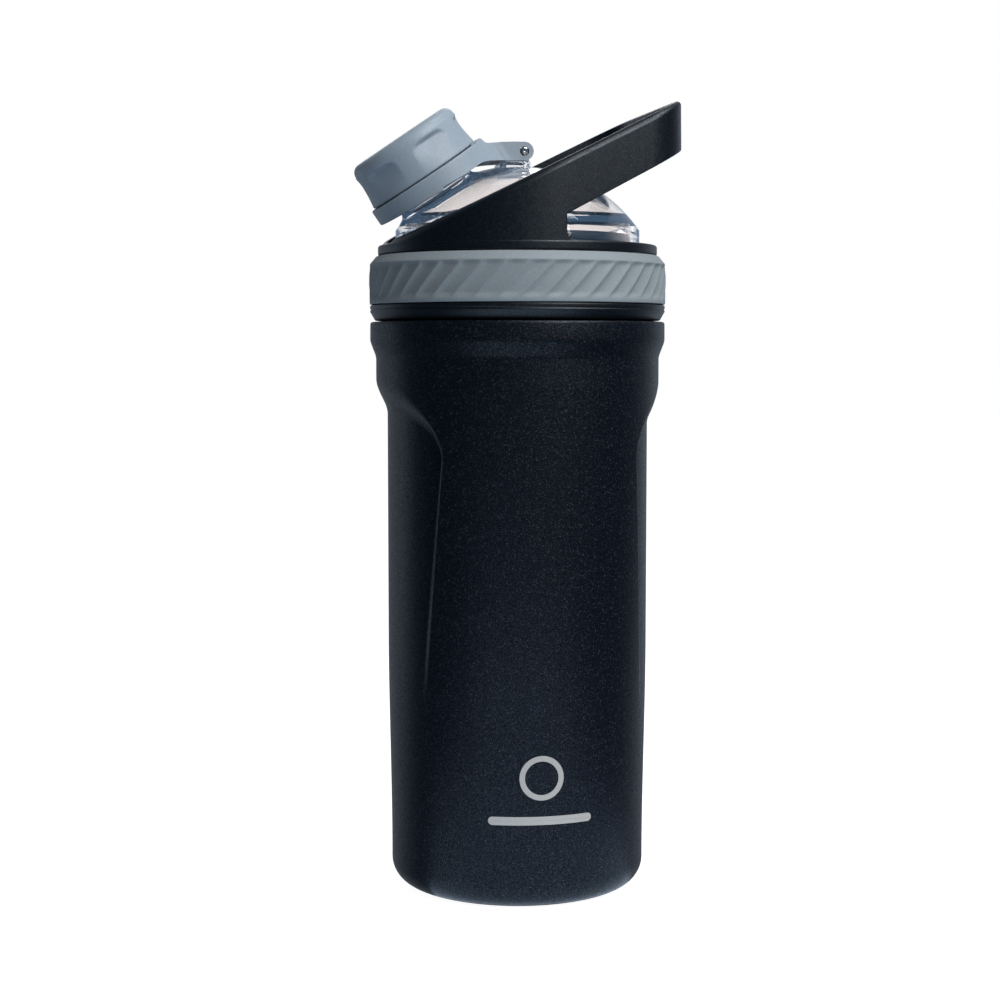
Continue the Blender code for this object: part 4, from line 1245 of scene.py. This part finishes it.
def studio_world():
    """White surroundings behind the object, and dimmer ones for what lights it and what it mirrors."""
    world = bpy.data.worlds.new("studio")
    bpy.context.scene.world = world
    world.use_nodes = True
    tree = world.node_tree
    link = tree.links.new
    background = tree.nodes["Background"]
    path = tree.nodes.new("ShaderNodeLightPath")
    coordinates = tree.nodes.new("ShaderNodeTexCoord")
    facing = tree.nodes.new("ShaderNodeVectorMath")
    facing.operation = 'DOT_PRODUCT'
    azimuth = radians(CAMERA_AZIMUTH)
    facing.inputs[1].default_value = (-sin(azimuth), cos(azimuth), 0)
    link(coordinates.outputs["Generated"], facing.inputs[0])

    def sky(start, end, behind):
        ramp = tree.nodes.new("ShaderNodeValToRGB")
        stops = zip(ramp.color_ramp.elements, (start, end), (SKY_FRONT, behind))
        for element, position, colour in stops:
            element.position = position
            element.color = (*colour, 1)
        link(facing.outputs["Value"], ramp.inputs["Fac"])
        return ramp.outputs["Color"]

    def choose(ray, otherwise, chosen):
        mix = tree.nodes.new("ShaderNodeMix")
        mix.data_type = 'RGBA'
        link(path.outputs[ray], mix.inputs[0])
        for source, socket in ((otherwise, 6), (chosen, 7)):
            if isinstance(source, tuple):
                mix.inputs[socket].default_value = (*source, 1)
            else:
                link(source, mix.inputs[socket])
        return mix.outputs[2]

    lit = choose("Is Glossy Ray", SKY_DIFFUSE, sky(0.30, 0.65, SKY_BEHIND))
    lit = choose("Is Transmission Ray", lit, sky(0.05, 0.40, SKY_SEEN))
    link(choose("Is Camera Ray", lit, SKY_SEEN), background.inputs["Color"])
    background.inputs["Strength"].default_value = 1.0


def studio():
    studio_floor()
    studio_world()
    middle = (0, 0, 0.15)
    softbox("key", (0.42, -0.88, 0.84), middle, 0.6, 0.6, 10.5)
    softbox("top", (0.32, -0.26, 1.06), (0, 0, 0.2), 0.6, 0.6, 6.0)
    softbox("back_top", (0.05, 0.85, 0.62), (0, 0, 0.2), 0.5, 0.2, 0.7)
    softbox("left_rim", (-0.75, 0.65, 0.10), (0, 0, 0.1), 0.2, 0.45, 0.29, BLUISH)
    softbox("right_rim", (0.75, 0.70, 0.15), (0, 0, 0.1), 0.15, 0.6, 0.20, BLUISH)
    softbox("near_glow", (-0.02, -0.085, 0.001), (-0.02, -0.085, 1), 0.24, 0.13, 0.12, BLUISH)
    softbox("far_glow", (-0.06, -0.24, 0.001), (-0.06, -0.24, 1), 0.34, 0.17, 0.23, BLUISH)


def studio_camera():
    data = bpy.data.cameras.new("camera")
    camera = add_object("camera", data)
    bpy.context.scene.camera = camera
    data.sensor_width = SENSOR
    data.lens = FOCAL_PIXELS / FRAME_PIXELS * SENSOR
    data.clip_start = 0.01
    azimuth = radians(CAMERA_AZIMUTH)
    spot = (sin(azimuth) * CAMERA_DISTANCE, -cos(azimuth) * CAMERA_DISTANCE, CAMERA_HEIGHT)
    camera.location = Vector(spot) * MM
    camera.rotation_euler = (radians(90 - CAMERA_PITCH), 0, azimuth + radians(CAMERA_PAN))


# ---- Putting it together ----

def build():
    steel = brushed_steel()
    ringed = brushed_steel("turned_steel", rings=True)
    bright = bright_steel()
    black = black_plastic()
    grey_blue = blue_grey_plastic()
    soft = silicone()
    mark = etched_mark()
    dress(outer_shell(), "bottle", "powder_coat", powder_coat(), "outer_shell")
    ring = inlay("mark_ring", ring_outline(MARK_RING_R), ring_outline(MARK_RING_R - MARK_RING_WIDTH))
    dress(ring, "bottle", "steel", mark)
    bar = inlay("mark_bar", bar_outline(MARK_BAR_HALF, MARK_BAR_R), bar_outline(MARK_BAR_HALF, MARK_BAR_SLIT))
    dress(bar, "bottle", "steel", mark)
    dress(inner_liner(), "bottle", "steel", steel, "inner_liner")
    dress(base_plate(), "bottle", "steel", ringed, "base_plate")
    dress(lid_collar(), "lid", "black_plastic", black, "lid_collar")
    dress(grip_ring(), "lid", "grey_rubber", grey_rubber(), "grip_ring")
    dress(handle_frame(), "lid", "black_plastic", black, "handle_frame")
    dress(spout_dome(), "lid", "clear_plastic", clear_plastic(), "spout_dome")
    dress(dome_seal(), "lid", "silicone", black_silicone(), "dome_seal")
    dress(hinge_pin(), "lid", "steel", bright, "hinge_pin")
    dress(rim_gasket(), "lid_carrier", "silicone", soft, "lid_gasket")
    dress(cap_tether(), "tether", "blue_grey_plastic", grey_blue, "cap_tether")
    dress(cap_knob(), "cap", "blue_grey_plastic", grey_blue, "cap_knob")
    dress(cap_insert(), "cap", "blue_grey_plastic", grey_blue, "cap_insert")
    dress(cap_gasket(), "cap", "silicone", soft, "cap_gasket")
    dress(mixing_ball(), "ball", "steel", bright, "mixing_ball")
    getter = frame["nodes"]["vacuum_getter"]
    getter.data.materials.clear()
    getter.data.materials.append(steel)


build()
studio()
studio_camera()
bpy.context.scene.view_settings.view_transform = 'Standard'
